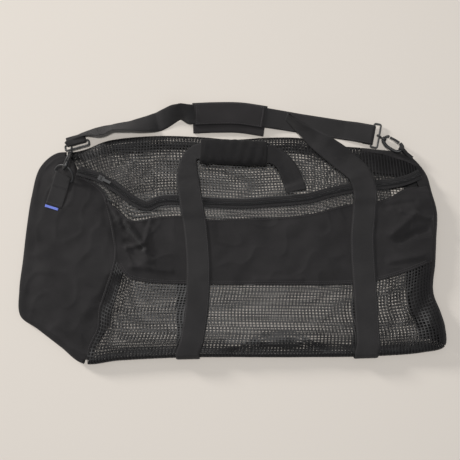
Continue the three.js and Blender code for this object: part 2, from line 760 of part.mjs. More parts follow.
// The webbing goes round the bottom fold of the bag and on under it.
const legUnder = 0.62;
function roundBottom(u, width) {
  const share = nearestShare(outline, u, 0.02);
  const seat = inside(share, foldInset);
  const { outward } = outlineAt(share);
  const top = restHeight(seat, strapReach) + (lapGap + webbingWall / 2);
  const middle = (top + webbingWall / 2) / 2;
  const rise = (top - webbingWall / 2) / 2;
  const reach = foldInset + 3 * lapGap + webbingWall / 2;
  const side = new THREE.Vector3(-outward.y, outward.x, 0);
  const place = (v) => ({ p: shiftZ(flat(u, v), webbingWall / 2), side, width });
  const stations = [place(legUnder), place(legUnder / 2)];
  const steps = 6;
  for (let k = 0; k <= steps; k++) {
    const angle = -Math.PI / 2 + (k * Math.PI) / steps;
    const p = seat.clone().addScaledVector(outward, reach * Math.cos(angle));
    p.z = middle + rise * Math.sin(angle);
    stations.push({ p, side, width });
  }
  return stations;
}

const leftWebbingRows = [
  { u: 0.409, v: 0.092, rest: 1, high: onFront, across: -4, tip: 0, wide: 1 },
  { u: 0.42, v: 0.223, rest: 1, high: onFront, across: -2, tip: 0, wide: 1 },
  { u: 0.424, v: 0.419, rest: 1, high: onFront, across: 0, tip: 0, wide: 1 },
  { u: 0.417, v: 0.585, rest: 1, high: onFront, across: 6, tip: 0, wide: 1 },
  { u: 0.408, v: 0.69, rest: 1, high: onFront, across: 7, tip: 0, wide: 1 },
  { u: 0.4, v: 0.795, rest: 1, high: onFront, across: 2, tip: 0, wide: 0.98 },
  { u: 0.401, v: 0.865, rest: 1, high: onFront + 0.12, across: -18, tip: 0, wide: 0.8 },
  { u: 0.412, v: 0.909, rest: 1, high: onFront + 0.36, across: -62, tip: 0, wide: 0.6 },
  { u: 0.432, v: 0.919, rest: 1, high: 0.53, across: -88, tip: 0, wide: 0.72 },
  { u: 0.507, v: 0.915, rest: 1, high: 0.53, across: -92, tip: 0, wide: 0.78 },
  { u: 0.582, v: 0.908, rest: 1, high: 0.5, across: -95, tip: 0, wide: 0.78 },
  { u: 0.61, v: 0.895, rest: 1, high: 0.3, across: -112, tip: 0, wide: 0.8 },
  { u: 0.638, v: 0.86, rest: 1, high: onFront + 0.06, across: -140, tip: 0, wide: 0.85 },
  { u: 0.654, v: 0.808, rest: 1, high: onFront, across: -162, tip: 0, wide: 0.9 },
  { u: 0.658, v: 0.772, rest: 1, high: onFront, across: -172, tip: 0, wide: 0.9 },
];
const leftStations = [
  ...roundBottom(0.399, handleWidth),
  ...strapStations(leftWebbingRows, handleWidth, 3),
];
addMesh("handle_webbing_left", strap(leftStations, webbingWall), webbing);

const doubled = 4; // between the two runs of the right webbing where it comes back under itself
const lifted = onFront + (doubled + lapGap) / loft;
const rightWebbingRows = [
  { u: 0.817, v: 0.09, rest: 1, high: onFront, across: -2, tip: 0, wide: 1 },
  { u: 0.811, v: 0.314, rest: 1, high: onFront, across: 2, tip: 0, wide: 1 },
  { u: 0.806, v: 0.537, rest: 1, high: onFront, across: 1, tip: 0, wide: 1 },
  { u: 0.811, v: 0.65, rest: 1, high: onFront, across: -3, tip: 0, wide: 1 },
  { u: 0.813, v: 0.745, rest: 1, high: onFront, across: 4, tip: 0, wide: 1 },
  { u: 0.8, v: 0.817, rest: 1, high: lifted, across: 22, tip: 0, wide: 1 },
  { u: 0.765, v: 0.88, rest: 1, high: lifted, across: 46, tip: 6, wide: 1 },
  { u: 0.713, v: 0.948, rest: 1, high: lifted + 0.1, across: 50, tip: 34, wide: 0.95 },
  { u: 0.668, v: 1.017, rest: 0.4, high: lifted, across: 46, tip: 66, wide: 0.85 },
  { u: 0.633, v: 1.075, rest: 0, high: 0.25, across: 44, tip: 84, wide: 0.8 },
];

// The right webbing turns back on itself at its tip and comes back under its own end.
function turnBack(stations, from) {
  const last = stations.length - 1;
  const upAt = (i) => {
    const tangent = stations[i].p.clone().sub(stations[i - 1].p).normalize();
    return stations[i].side.clone().cross(tangent).normalize();
  };
  const { p: tip, side, width } = stations[last];
  const ahead = tip.clone().sub(stations[last - 1].p).normalize();
  const turn = [1, 2, 3].map((k) => {
    const a = (k * Math.PI) / 4;
    const p = tip.clone().addScaledVector(ahead, (doubled / 2) * Math.sin(a));
    return { p: p.addScaledVector(upAt(last), (-doubled / 2) * (1 - Math.cos(a))), side, width };
  });
  const back = [];
  for (let i = last; i >= from; i--) {
    const at = stations[i];
    back.push({
      p: at.p.clone().addScaledVector(upAt(i), -doubled), side: at.side, width: at.width * 0.9,
    });
  }
  return [...stations, ...turn, ...back];
}

const rightStations = [
  ...roundBottom(0.813, handleWidth),
  ...strapStations(rightWebbingRows, handleWidth, 5),
];
const returnStations = 18; // how many stations the lower run comes back over
addMesh(
  "handle_webbing_right",
  strap(turnBack(rightStations, rightStations.length - returnStations), webbingWall),
  webbing,
);

// Handle wrap: an oval padded tube, open at both ends.
const wrapFrom = flat(0.429, 0.919);
const wrapTo = flat(0.584, 0.908);
const wrapAxis = wrapTo.clone().sub(wrapFrom).normalize();
const wrapAcross = new THREE.Vector3(-wrapAxis.y, wrapAxis.x, 0);
const wrapMiddle = wrapFrom.clone().add(wrapTo).multiplyScalar(0.5);
let wrapRest = 0;
for (const k of [-0.4, -0.2, 0, 0.2, 0.4]) {
  const p = wrapMiddle.clone().addScaledVector(wrapAxis, k * wrapLength);
  wrapRest = Math.max(wrapRest, restHeight(p, wrapWidth / 3));
}
wrapMiddle.z = wrapRest + lapGap + wrapHeight / 2;

function ovalRings(rows, width, height, sides) {
  const soft = (value) => Math.sign(value) * Math.abs(value) ** 0.75;
  return rows.map(({ along, scale }) =>
    Array.from({ length: sides }, (_, k) => {
      const a = (k * 2 * Math.PI) / sides;
      const p = wrapMiddle.clone().addScaledVector(wrapAxis, along * wrapLength);
      p.addScaledVector(wrapAcross, (scale * width * soft(Math.cos(a))) / 2);
      return shiftZ(p, (scale * height * soft(Math.sin(a))) / 2);
    }));
}
const wrapRows = [
  { along: -0.5, scale: 0.86 }, { along: -0.475, scale: 0.96 }, { along: -0.42, scale: 1 },
  { along: -0.2, scale: 0.98 }, { along: 0, scale: 0.97 }, { along: 0.2, scale: 0.98 },
  { along: 0.42, scale: 1 }, { along: 0.475, scale: 0.96 }, { along: 0.5, scale: 0.86 },
];
const boreRows = [{ along: -0.6, scale: 1 }, { along: 0, scale: 1 }, { along: 0.6, scale: 1 }];
addMesh(
  "handle_wrap",
  cut(bar(ovalRings(wrapRows, wrapWidth, wrapHeight, 16)),
    bar(ovalRings(boreRows, wrapWidth - 2 * wrapWall, wrapHeight - 2 * wrapWall, 12))),
  cloth,
);

// Strap rings, swivels, hooks

const vector = (x, y, z) => new THREE.Vector3(x, y, z);
const upright = vector(0, 0, 1);

// Metal is drawn along its own x axis and then placed. Its turn is by azimuth, pitch (of x,
// upwards) and roll, in degrees.
function turned(azimuth, pitch, roll) {
  return new THREE.Matrix4()
    .makeRotationZ(degrees(azimuth))
    .multiply(new THREE.Matrix4().makeRotationY(-degrees(pitch)))
    .multiply(new THREE.Matrix4().makeRotationX(degrees(roll)));
}
const placed = (geometry, origin, turn) =>
  geometry.clone().applyMatrix4(turn).translate(origin.x, origin.y, origin.z);

// A rectangle with round corners, as points, its front bar along x = 0.
function roundedLoop(depth, width, radius) {
  const [y, far] = [width / 2 - radius, radius - depth];
  const centres = [[-radius, y, 0], [far, y, 90], [far, -y, 180], [-radius, -y, 270]];
  return centres.flatMap(([x0, y0, start]) =>
    [0, 45, 90].map((turn) => {
      const a = degrees(start + turn);
      return vector(x0 + radius * Math.cos(a), y0 + radius * Math.sin(a), 0);
    }));
}
const ringCorner = 3.2;
const ringShape = wire(roundedLoop(ringDepth, ringWidth, ringCorner), upright, ringWire, 8);

// The swivel: an eye round the ring's bar, a post and its head.
const eyeRadius = ringWire + eyeGap + swivelWire;
const eyePath = Array.from({ length: 12 }, (_, k) => {
  const a = (k * Math.PI) / 6;
  return vector(eyeRadius * Math.cos(a), 0, eyeRadius * Math.sin(a));
});
const headStart = collarStart + collarLength + runGap;
const headEnd = headStart + swivelHeadLength;
const swivelShape = fuse(
  wire(eyePath, vector(0, 1, 0), swivelWire, 8),
  rod(vector(eyeRadius, 0, 0), vector(headStart + 1, 0, 0), swivelPost, 10),
  rod(vector(headStart, 0, 0), vector(headEnd, 0, 0), swivelHead, 10),
);

// The hook: a collar round the post, a back that runs to the rounded tip, a nose, and an arm
// that carries the gate.
const gateSide = hookHalfWidth - 1;
const collarMiddle = collarStart + collarLength / 2;
const hookPath = new THREE.CatmullRomCurve3([
  vector(collarMiddle, -collarRadius * 0.7, 0),
  vector(gateHinge, -hookHalfWidth * 0.86, 0),
  vector(mix(gateHinge, hookLength, 0.35), -hookHalfWidth, 0),
  vector(hookLength - 8, -hookHalfWidth * 0.92, 0),
  vector(hookLength - 1.6, -hookHalfWidth * 0.52, 0),
  vector(hookLength, 0, 0),
  vector(hookLength - 1.8, hookHalfWidth * 0.52, 0),
  vector(hookLength - noseBack, gateSide, 0),
]);
const hingeArm = [
  vector(collarMiddle, collarRadius * 0.7, 0),
  vector(gateHinge - 6.4, gateSide, 0),
  vector(gateHinge - gateWire - runGap - 1.2, gateSide, 0),
];
const bore = swivelPost + runGap;
const hookShape = cut(
  fuse(
    rod(vector(collarStart, 0, 0), vector(collarStart + collarLength, 0, 0), collarRadius, 14),
    wire(hookPath.getPoints(18), upright, hookWire, 8, false),
    wire(hingeArm, upright, hookWire - 0.6, 8, false),
  ),
  rod(vector(0, 0, 0), vector(headEnd + runGap, 0, 0), bore, 12),
  rod(vector(headStart - runGap, 0, 0), vector(headEnd + runGap, 0, 0), swivelHead + runGap, 12),
);

// The gate: a bar from its hinge to the nose.
const gateEnd = hookLength - noseBack - hookWire * 0.2 - 3 * runGap;
const gatePath = [
  vector(gateHinge - gateWire, gateSide, 0),
  vector(mix(gateHinge, gateEnd, 0.5), gateSide + 0.5, 0),
  vector(gateEnd, gateSide, 0),
];
const gateShape = wire(gatePath, upright, gateWire, 8, false);

// D ring: a straight bar along y at x = 0 and a round bow towards +x.
const bowStart = 3.5;
const bowSteps = 12;
const bowPoint = (angle) => vector(
  bowStart + (dRingDepth - bowStart) * Math.cos(degrees(angle)),
  (dRingWidth / 2) * Math.sin(degrees(angle)), 0,
);
const barEnd = dRingWidth / 2;
const dRingPath = [
  ...Array.from({ length: bowSteps + 1 }, (_, k) => bowPoint(-90 + (180 * k) / bowSteps)),
  vector(0.9, barEnd - 0.6, 0), vector(0, barEnd - 2.2, 0),
  vector(0, 2.2 - barEnd, 0), vector(0.9, 0.6 - barEnd, 0),
];
const dRingShape = wire(dRingPath, upright, dRingWire, 8);

// Where the D ring lies: its bar stands above the left end panel inside the tab's loop, and its
// bow rises to the hook.
const dRingPlace = { u: 0.105, v: 0.814, azimuth: 55, pitch: 44, crossing: 12 };
const underTab = lapGap + webbingWall + runGap;
const dRingOrigin = flat(dRingPlace.u, dRingPlace.v);
dRingOrigin.z = underFrontHeight(dRingOrigin, strapReach) + underTab + runGap + dRingWire;
const dRingTurn = turned(dRingPlace.azimuth, dRingPlace.pitch, 0);
addMesh("left_d_ring", placed(dRingShape, dRingOrigin, dRingTurn), metal);

// The left hook holds the D ring's bow in its tip; the right hook's swivel stands beyond the
// bag's top edge.
const holdReach = hookLength - hookWire - dRingWire - lapGap;
const leftTurns = { azimuth: -99, pitch: 36, roll: 62, ringAzimuth: -74, ringPitch: 30 };
const rightTurns = { azimuth: -34, pitch: 13, roll: 0, ringAzimuth: -11, ringPitch: 0 };
const leftHold = bowPoint(dRingPlace.crossing).applyMatrix4(dRingTurn).add(dRingOrigin);
const leftAhead = direction(leftTurns.azimuth, leftTurns.pitch);
const leftOrigin = leftHold.clone().addScaledVector(leftAhead, -holdReach);
const rightOrigin = shiftZ(flat(0.8544, 1.0), 0.21 * loft);
const ringOf = {};

function addHook(side, origin, turns, shiftAlong) {
  const hookTurn = turned(turns.azimuth, turns.pitch, turns.roll);
  const swivelTurn = turned(turns.azimuth, turns.pitch, 0);
  const ringTurn = turned(turns.ringAzimuth, turns.ringPitch, 0);
  const along = direction(turns.ringAzimuth + 90);
  const middle = origin.clone().addScaledVector(along, shiftAlong);
  const rear = middle.clone().add(vector(-ringDepth, 0, 0).applyMatrix4(ringTurn));
  ringOf[side] = { rear, along, ahead: direction(turns.ringAzimuth) };
  addMesh(`${side}_strap_ring`, placed(ringShape, middle, ringTurn), metal);
  addMesh(`${side}_swivel`, placed(swivelShape, origin, swivelTurn), metal);
  addMesh(`${side}_hook`, placed(hookShape, origin, hookTurn), metal);
  addMesh(`${side}_hook_gate`, placed(gateShape, origin, hookTurn), metal);
}
addHook("left", leftOrigin, leftTurns, eyeShift);
addHook("right", rightOrigin, rightTurns, 0);

// Webbing tab of the D ring, with a short tag at its lower end

// A loop of webbing round a bar, from its tail below the bar to the run above it.
function loopStations(centre, along, ahead, radius, width, tail, tailHeight) {
  const stations = [
    { p: centre.clone().addScaledVector(ahead, -tail).setZ(tailHeight), side: along, width },
    { p: centre.clone().addScaledVector(ahead, -tail / 2).setZ(mix(tailHeight, centre.z - radius, 0.5)),
      side: along, width },
  ];
  for (let k = 0; k <= 4; k++) {
    const a = -Math.PI / 2 + (k * Math.PI) / 4;
    const p = centre.clone().addScaledVector(ahead, radius * Math.cos(a));
    stations.push({ p: shiftZ(p, radius * Math.sin(a)), side: along, width });
  }
  return stations;
}

const tabLoop = dRingWire + 2 * runGap + webbingWall / 2;
const tabAhead = direction(dRingPlace.azimuth + 18);
const tabSide = direction(dRingPlace.azimuth - 90);
const tabRest = (distance) => {
  const p = dRingOrigin.clone().addScaledVector(tabAhead, -distance);
  return { p, level: underFrontHeight(p, strapReach) + lapGap + webbingWall / 2 };
};
const tabTail = 17;
const tabStations = loopStations(
  dRingOrigin, tabSide, direction(dRingPlace.azimuth), tabLoop, tabWidth, tabTail,
  tabRest(tabTail).level,
);
const tabEnds = [
  { at: 6, above: 4.4 }, { at: 13, above: 2.9 }, { at: tabTail + 3, above: 2.3 },
  { at: tabTail + 8, above: 0.4 }, { at: 0.7 * tabLength, above: 0 }, { at: tabLength, above: 0 },
];
for (const { at, above } of tabEnds) {
  const { p, level } = tabRest(at);
  const turn = Math.min(1, at / tabTail);
  p.z = level + above;
  tabStations.push({ p, side: direction(dRingPlace.azimuth - 90 + 18 * turn), width: tabWidth });
}
addMesh("left_tab", strap(tabStations, webbingWall), webbing);

const tagSide = direction(dRingPlace.azimuth - 90 + 18);
const tagMiddle = dRingOrigin.clone().addScaledVector(tabAhead, -tabLength - tagWidth / 2 - lapGap);
tagMiddle.addScaledVector(tagSide, -(tabWidth - tagLength) / 2);
tagMiddle.z = underFrontHeight(tagMiddle, strapReach) + lapGap + tagWall / 2;
const tagStations = [-0.5, 0.5].map((k) => ({
  p: tagMiddle.clone().addScaledVector(tagSide, k * tagLength), side: tabAhead, width: tagWidth,
}));
addMesh("left_tab_tag", strap(tagStations, tagWall), blue);

// Webbing tab of the right hook: a narrow loop round its tip whose tails lie on the corner flap.
const rightHookTurn = turned(rightTurns.azimuth, rightTurns.pitch, rightTurns.roll);
const rightTip = vector(hookLength, 0, 0).applyMatrix4(rightHookTurn).add(rightOrigin);
const rightLoop = hookWire + 6 * runGap + webbingWall / 2;
const rightAhead = direction(rightTurns.azimuth - 4);
const rightSide = direction(rightTurns.azimuth - 4 - 90);
const rightTail = (distance, above) => {
  const p = rightTip.clone().addScaledVector(rightAhead, distance);
  p.z = underFrontHeight(p, rightTabWidth) + lapGap + webbingWall / 2 + above;
  return { p, side: rightSide, width: rightTabWidth };
};
const rightTurnStations = [70, 110, 150, 190, 230, 270].map((angle) => {
  const p = rightTip.clone().addScaledVector(rightAhead, rightLoop * Math.cos(degrees(angle)));
  return {
    p: shiftZ(p, rightLoop * Math.sin(degrees(angle))), side: rightSide, width: rightTabWidth,
  };
});
const betweenTails = webbingWall + lapGap;
addMesh(
  "right_tab",
  strap([
    rightTail(rightTabLength, betweenTails), rightTail(0.7 * rightTabLength, betweenTails),
    rightTail(0.45 * rightTabLength, betweenTails + 1), ...rightTurnStations,
    rightTail(0.4 * rightTabLength, 0.4), rightTail(0.7 * rightTabLength, 0),
  ], webbingWall),
  webbing,
);

// Shoulder pad and shoulder strap

const padLine = curveThrough([
  { u: 0.408, v: 1.098 }, { u: 0.462, v: 1.102 }, { u: 0.521, v: 1.101 }, { u: 0.584, v: 1.084 },
].map(({ u, v }) => flat(u, v)));
const padSide = (t) => {
  const tangent = padLine.getTangentAt(t);
  return new THREE.Vector3(-tangent.y, tangent.x, 0);
};
const padEdge = (distance) => (t) => padLine.getPointAt(t).addScaledVector(padSide(t), distance);
const [padLow, padHigh] = [
  padEdge(-padBaseOffset - padBaseWidth / 2), padEdge(padBaseWidth / 2 - padBaseOffset),
];
const padSteps = 8;
addMesh(
  "shoulder_pad_base",
  panel(padLow, padHigh, straight(padLow(0), padHigh(0)), straight(padLow(1), padHigh(1)),
    padSteps, 4, padBaseHeight, () => padBaseHeight),
  cloth,
);

// The cover's section: places across as shares of its half width, heights above the floor.
const coverBottom = padBaseHeight + lapGap;
const coverRoof = coverBottom + padSlot;
const coverTop = coverRoof + padCoverWall;
const coverRows = [
  { outerAt: 1, outer: coverBottom, innerAt: 1, inner: coverBottom },
  { outerAt: 0.99, outer: mix(coverBottom, coverTop, 0.5), innerAt: 1, inner: coverRoof - 0.3 },
  { outerAt: 0.86, outer: coverTop - 0.6, innerAt: 0.98, inner: coverRoof },
  { outerAt: 0, outer: coverTop, innerAt: 0, inner: coverRoof },
];
const coverSection = [
  ...coverRows.map((row) => ({ ...row, outerAt: -row.outerAt, innerAt: -row.innerAt })),
  ...coverRows.slice(0, -1).reverse(),
];
const coverInset = 0.03; // share of the pad's length at each end
const coverGrid = (name, halfWidth) => Array.from({ length: padSteps + 1 }, (_, i) => {
  const t = mix(coverInset, 1 - coverInset, i / padSteps);
  return coverSection.map((row) => shiftZ(padEdge(row[`${name}At`] * halfWidth)(t), row[name]));
});
addMesh(
  "shoulder_pad_cover",
  sheet(coverGrid("outer", padCoverWidth / 2), coverGrid("inner", shoulderWidth / 2 + 2 * lapGap)),
  cloth,
);

const inPad = (coverBottom + lapGap / 2 + webbingWall / 2) / loft;
// The strap's first places are taken from the left ring's rear bar, in widths of the strap.
const fromRing = (along, above) => ({
  u: (ringOf.left.rear.x + along * shoulderWidth) / bagLength,
  v: (ringOf.left.rear.y + above * shoulderWidth) / bagHeight,
});
const shoulderRows = [
  { ...fromRing(1, 0.5), rest: 0, high: 0.1, across: -50, tip: 50, wide: 1 },
  { ...fromRing(1.2, 0.56), rest: 0, high: onFloor, across: -45, tip: 45, wide: 1 },
  { u: 0.216, v: 1.035, rest: 0, high: onFloor, across: -65, tip: 60, wide: 1 },
  { u: 0.258, v: 1.044, rest: 0, high: onFloor, across: -85, tip: 50, wide: 1 },
  { u: 0.303, v: 1.057, rest: 0, high: onFloor, across: -82, tip: 22, wide: 1 },
  { u: 0.335, v: 1.074, rest: 0, high: onFloor, across: -78, tip: -12, wide: 1 },
  { u: 0.375, v: 1.105, rest: 0, high: onFloor, across: -78, tip: -48, wide: 1 },
  { u: 0.397, v: 1.098, rest: 0, high: inPad, across: -86, tip: -14, wide: 1 },
  { u: 0.412, v: 1.099, rest: 0, high: inPad, across: -88, tip: 0, wide: 1 },
  { u: 0.462, v: 1.102, rest: 0, high: inPad, across: -90, tip: 0, wide: 1 },
  { u: 0.521, v: 1.101, rest: 0, high: inPad, across: -94, tip: 0, wide: 1 },
  { u: 0.584, v: 1.084, rest: 0, high: inPad, across: -100, tip: 0, wide: 1 },
  { u: 0.625, v: 1.073, rest: 0, high: 0.12, across: -100, tip: 0, wide: 1 },
  { u: 0.665, v: 1.061, rest: 0, high: onFloor, across: -99, tip: 0, wide: 1 },
  { u: 0.767, v: 1.031, rest: 0, high: onFloor, across: -100, tip: 0, wide: 1 },
  { u: 0.8, v: 1.021, rest: 0, high: 0.2, across: -101, tip: 0, wide: 1 },
];
const strapLoop = ringWire + runGap + webbingWall / 2;
const strapTail = 16;
const ringLoop = ({ rear, along, ahead }, leave) => {
  const stations = loopStations(
    rear, along, ahead, strapLoop, shoulderWidth, strapTail, webbingWall / 2);
  const p = rear.clone().addScaledVector(ahead, -leave);
  return [...stations, { p: shiftZ(p, strapLoop + 0.6), side: along, width: shoulderWidth }];
};
const reversed = (stations) =>
  stations.map((at) => ({ ...at, side: at.side.clone().negate() })).reverse();
addMesh(
  "shoulder_strap",
  strap([
    ...ringLoop(ringOf.left, 8), ...strapStations(shoulderRows, shoulderWidth, 3),
    ...reversed(ringLoop(ringOf.right, 5)),
  ], webbingWall),
  webbing,
);

// Zipper slider and pull

const sliderShare = nearestShare(zipper, 0.195, 0.8);
const sliderTangent = zipper.getTangentAt(sliderShare);
const sliderTurn = turned(THREE.MathUtils.radToDeg(Math.atan2(sliderTangent.y, sliderTangent.x)), 0, 0);
const sliderOrigin = zipper.getPointAt(sliderShare);
sliderOrigin.z = coverHeight(sliderOrigin) + coilLevel;
const sliderRoof = coilHeight / 2 + runGap;
const sliderTop = sliderRoof + 1.2;
const block = (x, y, z, dx, dy, dz) => new THREE.BoxGeometry(dx, dy, dz).translate(x, y, z);
const earHeight = 3.2;
const earAcross = pullWidth / 2 + runGap + 0.6;
const pinHeight = sliderTop + pullEyeRadius + 0.1;
const earBlock = (sideSign) =>
  block(0, sideSign * earAcross, sliderTop + earHeight / 2 - 0.2, 3.4, 1.2, earHeight);
const sliderShape = cut(
  fuse(
    block(0, 0, sliderTop - sliderHeight / 2, sliderLength, sliderWidth, sliderHeight),
    earBlock(1), earBlock(-1),
    rod(vector(0, -earAcross, pinHeight), vector(0, earAcross, pinHeight), pullPinRadius, 12),
  ),
  block(0, 0, sliderRoof - 5, sliderLength + 4, coilWidth + 1.6, 10),
);
addMesh("zipper_slider", placed(sliderShape, sliderOrigin, sliderTurn), metal);

const pullEye = rod(
  vector(0, -pullWidth / 2, pinHeight), vector(0, pullWidth / 2, pinHeight), pullEyeRadius, 12);
const pullShape = cut(
  fuse(pullEye, block(pullLength / 2, 0, pinHeight, pullLength, pullWidth, pullWall)),
  rod(vector(0, -pullWidth, pinHeight), vector(0, pullWidth, pinHeight), pullPinRadius + runGap, 12),
);
addMesh("zipper_pull", placed(pullShape, sliderOrigin, sliderTurn), metal);

// The origin is under the middle of the whole, on the floor.
const whole = new THREE.Box3().setFromObject(bag);
const middle = whole.getCenter(new THREE.Vector3());
bag.position.set(-middle.x, -middle.y, -whole.min.z);

export default bag;
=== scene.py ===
# %% [markdown]
# # A mesh gear bag, lying flat
# The bag is an empty duffel of net and cloth that lies front up on a pale floor. This file
# repeats the named sizes and tables of the CAD model and dresses it: open net, woven cloth,
# webbing, a coil zipper and coated metal.

# %% Load the frame
import math
import bpy
import numpy as np
from mathutils import Matrix, Vector


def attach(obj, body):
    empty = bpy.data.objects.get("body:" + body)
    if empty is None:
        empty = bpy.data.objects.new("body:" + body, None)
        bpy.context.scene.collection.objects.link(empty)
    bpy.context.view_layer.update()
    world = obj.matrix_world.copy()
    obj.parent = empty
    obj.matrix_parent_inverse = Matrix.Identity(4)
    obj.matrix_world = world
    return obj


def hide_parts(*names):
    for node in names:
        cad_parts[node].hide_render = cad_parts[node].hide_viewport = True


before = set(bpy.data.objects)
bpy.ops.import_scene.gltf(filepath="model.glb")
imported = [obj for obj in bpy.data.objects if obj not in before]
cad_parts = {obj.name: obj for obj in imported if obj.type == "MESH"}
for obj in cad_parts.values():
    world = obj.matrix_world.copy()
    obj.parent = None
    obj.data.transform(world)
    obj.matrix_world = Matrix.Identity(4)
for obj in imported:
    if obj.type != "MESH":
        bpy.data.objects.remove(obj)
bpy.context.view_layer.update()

scene = bpy.context.scene

# %% [markdown]
# ## Camera, floor and light
# The photograph looks almost straight down at the bag. A long lens from above keeps the flat
# bag nearly free of perspective. The floor is one plain pale sheet. A small lamp near the
# camera's axis lights the floor through the same holes of the net that the camera looks through.
# A second lamp, low at the upper left, gives the shadows, and a weak sky fills them.

# %% Camera
look_at = Vector((-0.0032, 0.0008, 0.018))
view_elevation = math.radians(85)
lens, view_width = 62, 0.8746  # millimetres; metres across the frame at the bag
distance = view_width * lens / 36
camera_data = bpy.data.cameras.new("camera")
camera_data.lens = lens
camera_data.clip_start, camera_data.clip_end = 0.05, 50
camera = bpy.data.objects.new("camera", camera_data)
scene.collection.objects.link(camera)
back = Vector((0, -math.cos(view_elevation), math.sin(view_elevation)))
camera.location = look_at + back * distance
camera.rotation_euler = (-back).to_track_quat("-Z", "Y").to_euler()
scene.camera = camera
print("camera at", [round(v, 3) for v in camera.location])

# %% Floor
floor_mesh = bpy.data.meshes.new("floor")
floor_mesh.from_pydata([(-6, -6, 0), (6, -6, 0), (6, 6, 0), (-6, 6, 0)], [], [(0, 1, 2, 3)])
floor = bpy.data.objects.new("floor", floor_mesh)
scene.collection.objects.link(floor)
floor.location.z = -0.0003

# %% Light
def area_lamp(name, place, aim, size, power, colour):
    data = bpy.data.lights.new(name, "AREA")
    data.shape, data.size, data.energy, data.color = "DISK", size, power, colour
    lamp = bpy.data.objects.new(name, data)
    scene.collection.objects.link(lamp)
    lamp.location = place
    lamp.rotation_euler = (Vector(aim) - Vector(place)).to_track_quat("-Z", "Y").to_euler()
    return lamp

area_lamp("overhead_lamp", (-0.12, 0.1, 3.4), (0, 0, 0), 0.3, 62, (1.0, 0.99, 0.975))
area_lamp("side_lamp", (-4.0, 2.9, 1.7), (0, 0, 0), 1.0, 190, (1.0, 0.985, 0.965))
world = bpy.data.worlds.new("sky")
scene.world = world
world.use_nodes = True
world.node_tree.nodes["Background"].inputs["Color"].default_value = (0.93, 0.96, 1.0, 1)
world.node_tree.nodes["Background"].inputs["Strength"].default_value = 0.24
scene.view_settings.view_transform = "Standard"

# %% [markdown]
# ## Sizes of the bag
# The same named sizes and short tables as the solids have, but for the end of the left handle's
# webbing. Lengths are in millimetres here and become metres when a mesh is made. Places on the
# bag are shares of its length (u) and of its height (v).

# %% Sizes
bag_length, bag_height, loft = 810.0, 435.0, 26.0
edge_drop, edge_reach, fold_inset = 6.0, 22.0, 9.0
mesh_wall, cloth_wall, lap_gap, lap_width, seam_gap = 1.6, 1.4, 0.5, 7.0, 0.4
webbing_wall, handle_width, shoulder_width = 1.6, 44.0, 38.0
tape_width, tape_wall, coil_height, mesh_under_tape = 19.0, 1.2, 2.0, 5.0
under_webbing = webbing_wall + lap_gap
lap_level = mesh_wall + lap_gap
back_level = under_webbing + 2 * mesh_wall + lap_gap

outline_rows = [
    (0.155, 0.0), (0.103, 0.07), (0.047, 0.148), (0.006, 0.205), (0.002, 0.319), (0.009, 0.45),
    (0.016, 0.59), (0.026, 0.729), (0.044, 0.86), (0.082, 0.924), (0.129, 0.93), (0.157, 0.943),
    (0.199, 0.974), (0.244, 0.989), (0.335, 1.0), (0.436, 0.993), (0.504, 0.983), (0.591, 0.992),
    (0.668, 0.989), (0.736, 0.959), (0.84, 0.942), (0.919, 0.921), (0.944, 0.883),
    (0.966, 0.825), (0.976, 0.749), (0.987, 0.659), (0.984, 0.537), (0.98, 0.424),
    (0.975, 0.31), (0.991, 0.218), (1.0, 0.157), (0.998, 0.074), (0.947, 0.048),
    (0.837, 0.032), (0.661, 0.027), (0.392, 0.026), (0.239, 0.013),
]


def flat(u, v):
    return np.array([u * bag_length, v * bag_height])


def left_of(t):
    """Flat directions, turned a quarter to the left."""
    return np.stack([-t[..., 1], t[..., 0]], -1)


def unit(v):
    return v / np.maximum(np.linalg.norm(v, axis=-1, keepdims=True), 1e-9)


# %% [markdown]
# ## Curves
# The seams, the outline and the zipper are smooth curves through short tables of places. The
# helper below is a Catmull-Rom curve that gives a point for a share of its own length.

# %% A smooth curve through places
def hermite_span(p0, p1, p2, p3, w):
    d0, d1, d2 = (max(float(np.linalg.norm(b - a)) ** 0.5, 1e-3)
                  for a, b in ((p0, p1), (p1, p2), (p2, p3)))
    m1 = ((p1 - p0) / d0 - (p2 - p0) / (d0 + d1) + (p2 - p1) / d1) * d1
    m2 = ((p2 - p1) / d1 - (p3 - p1) / (d1 + d2) + (p3 - p2) / d2) * d1
    w = np.asarray(w, float)[:, None]
    return (p1 + m1 * w + (-3 * p1 + 3 * p2 - 2 * m1 - m2) * w ** 2
            + (2 * p1 - 2 * p2 + m1 + m2) * w ** 3)


def smooth_through(points, steps, closed=False):
    points = np.asarray(points, float)
    count = len(points)
    w = np.arange(steps) / steps
    parts = []
    for i in range(count if closed else count - 1):
        if closed:
            around = [points[(i + k) % count] for k in (-1, 0, 1, 2)]
        else:
            before = points[i - 1] if i else 2 * points[0] - points[1]
            after = points[i + 2] if i + 2 < count else 2 * points[-1] - points[-2]
            around = [before, points[i], points[i + 1], after]
        parts.append(hermite_span(*around, w))
    parts.append(points[:1] if closed else points[-1:])
    return np.concatenate(parts)


class Line:
    def __init__(self, places, closed=False):
        self.points = smooth_through(places, 60, closed)
        lengths = np.linalg.norm(np.diff(self.points, axis=0), axis=1)
        self.share = np.concatenate([[0], np.cumsum(lengths)])
        self.length = float(self.share[-1])
        self.share /= self.length
        self.closed = closed

    def at(self, share):
        share = np.asarray(share, float)
        if self.closed:
            share = np.mod(share, 1)
        return np.stack([np.interp(share, self.share, self.points[:, k]) for k in range(2)], -1)

    def tangent(self, share):
        step = 0.0015
        share = np.asarray(share, float)
        if not self.closed:
            share = np.clip(share, step, 1 - step)
        return unit(self.at(share + step) - self.at(share - step))

    def nearest(self, u, v):
        return float(self.share[np.argmin(np.linalg.norm(self.points - flat(u, v), axis=1))])


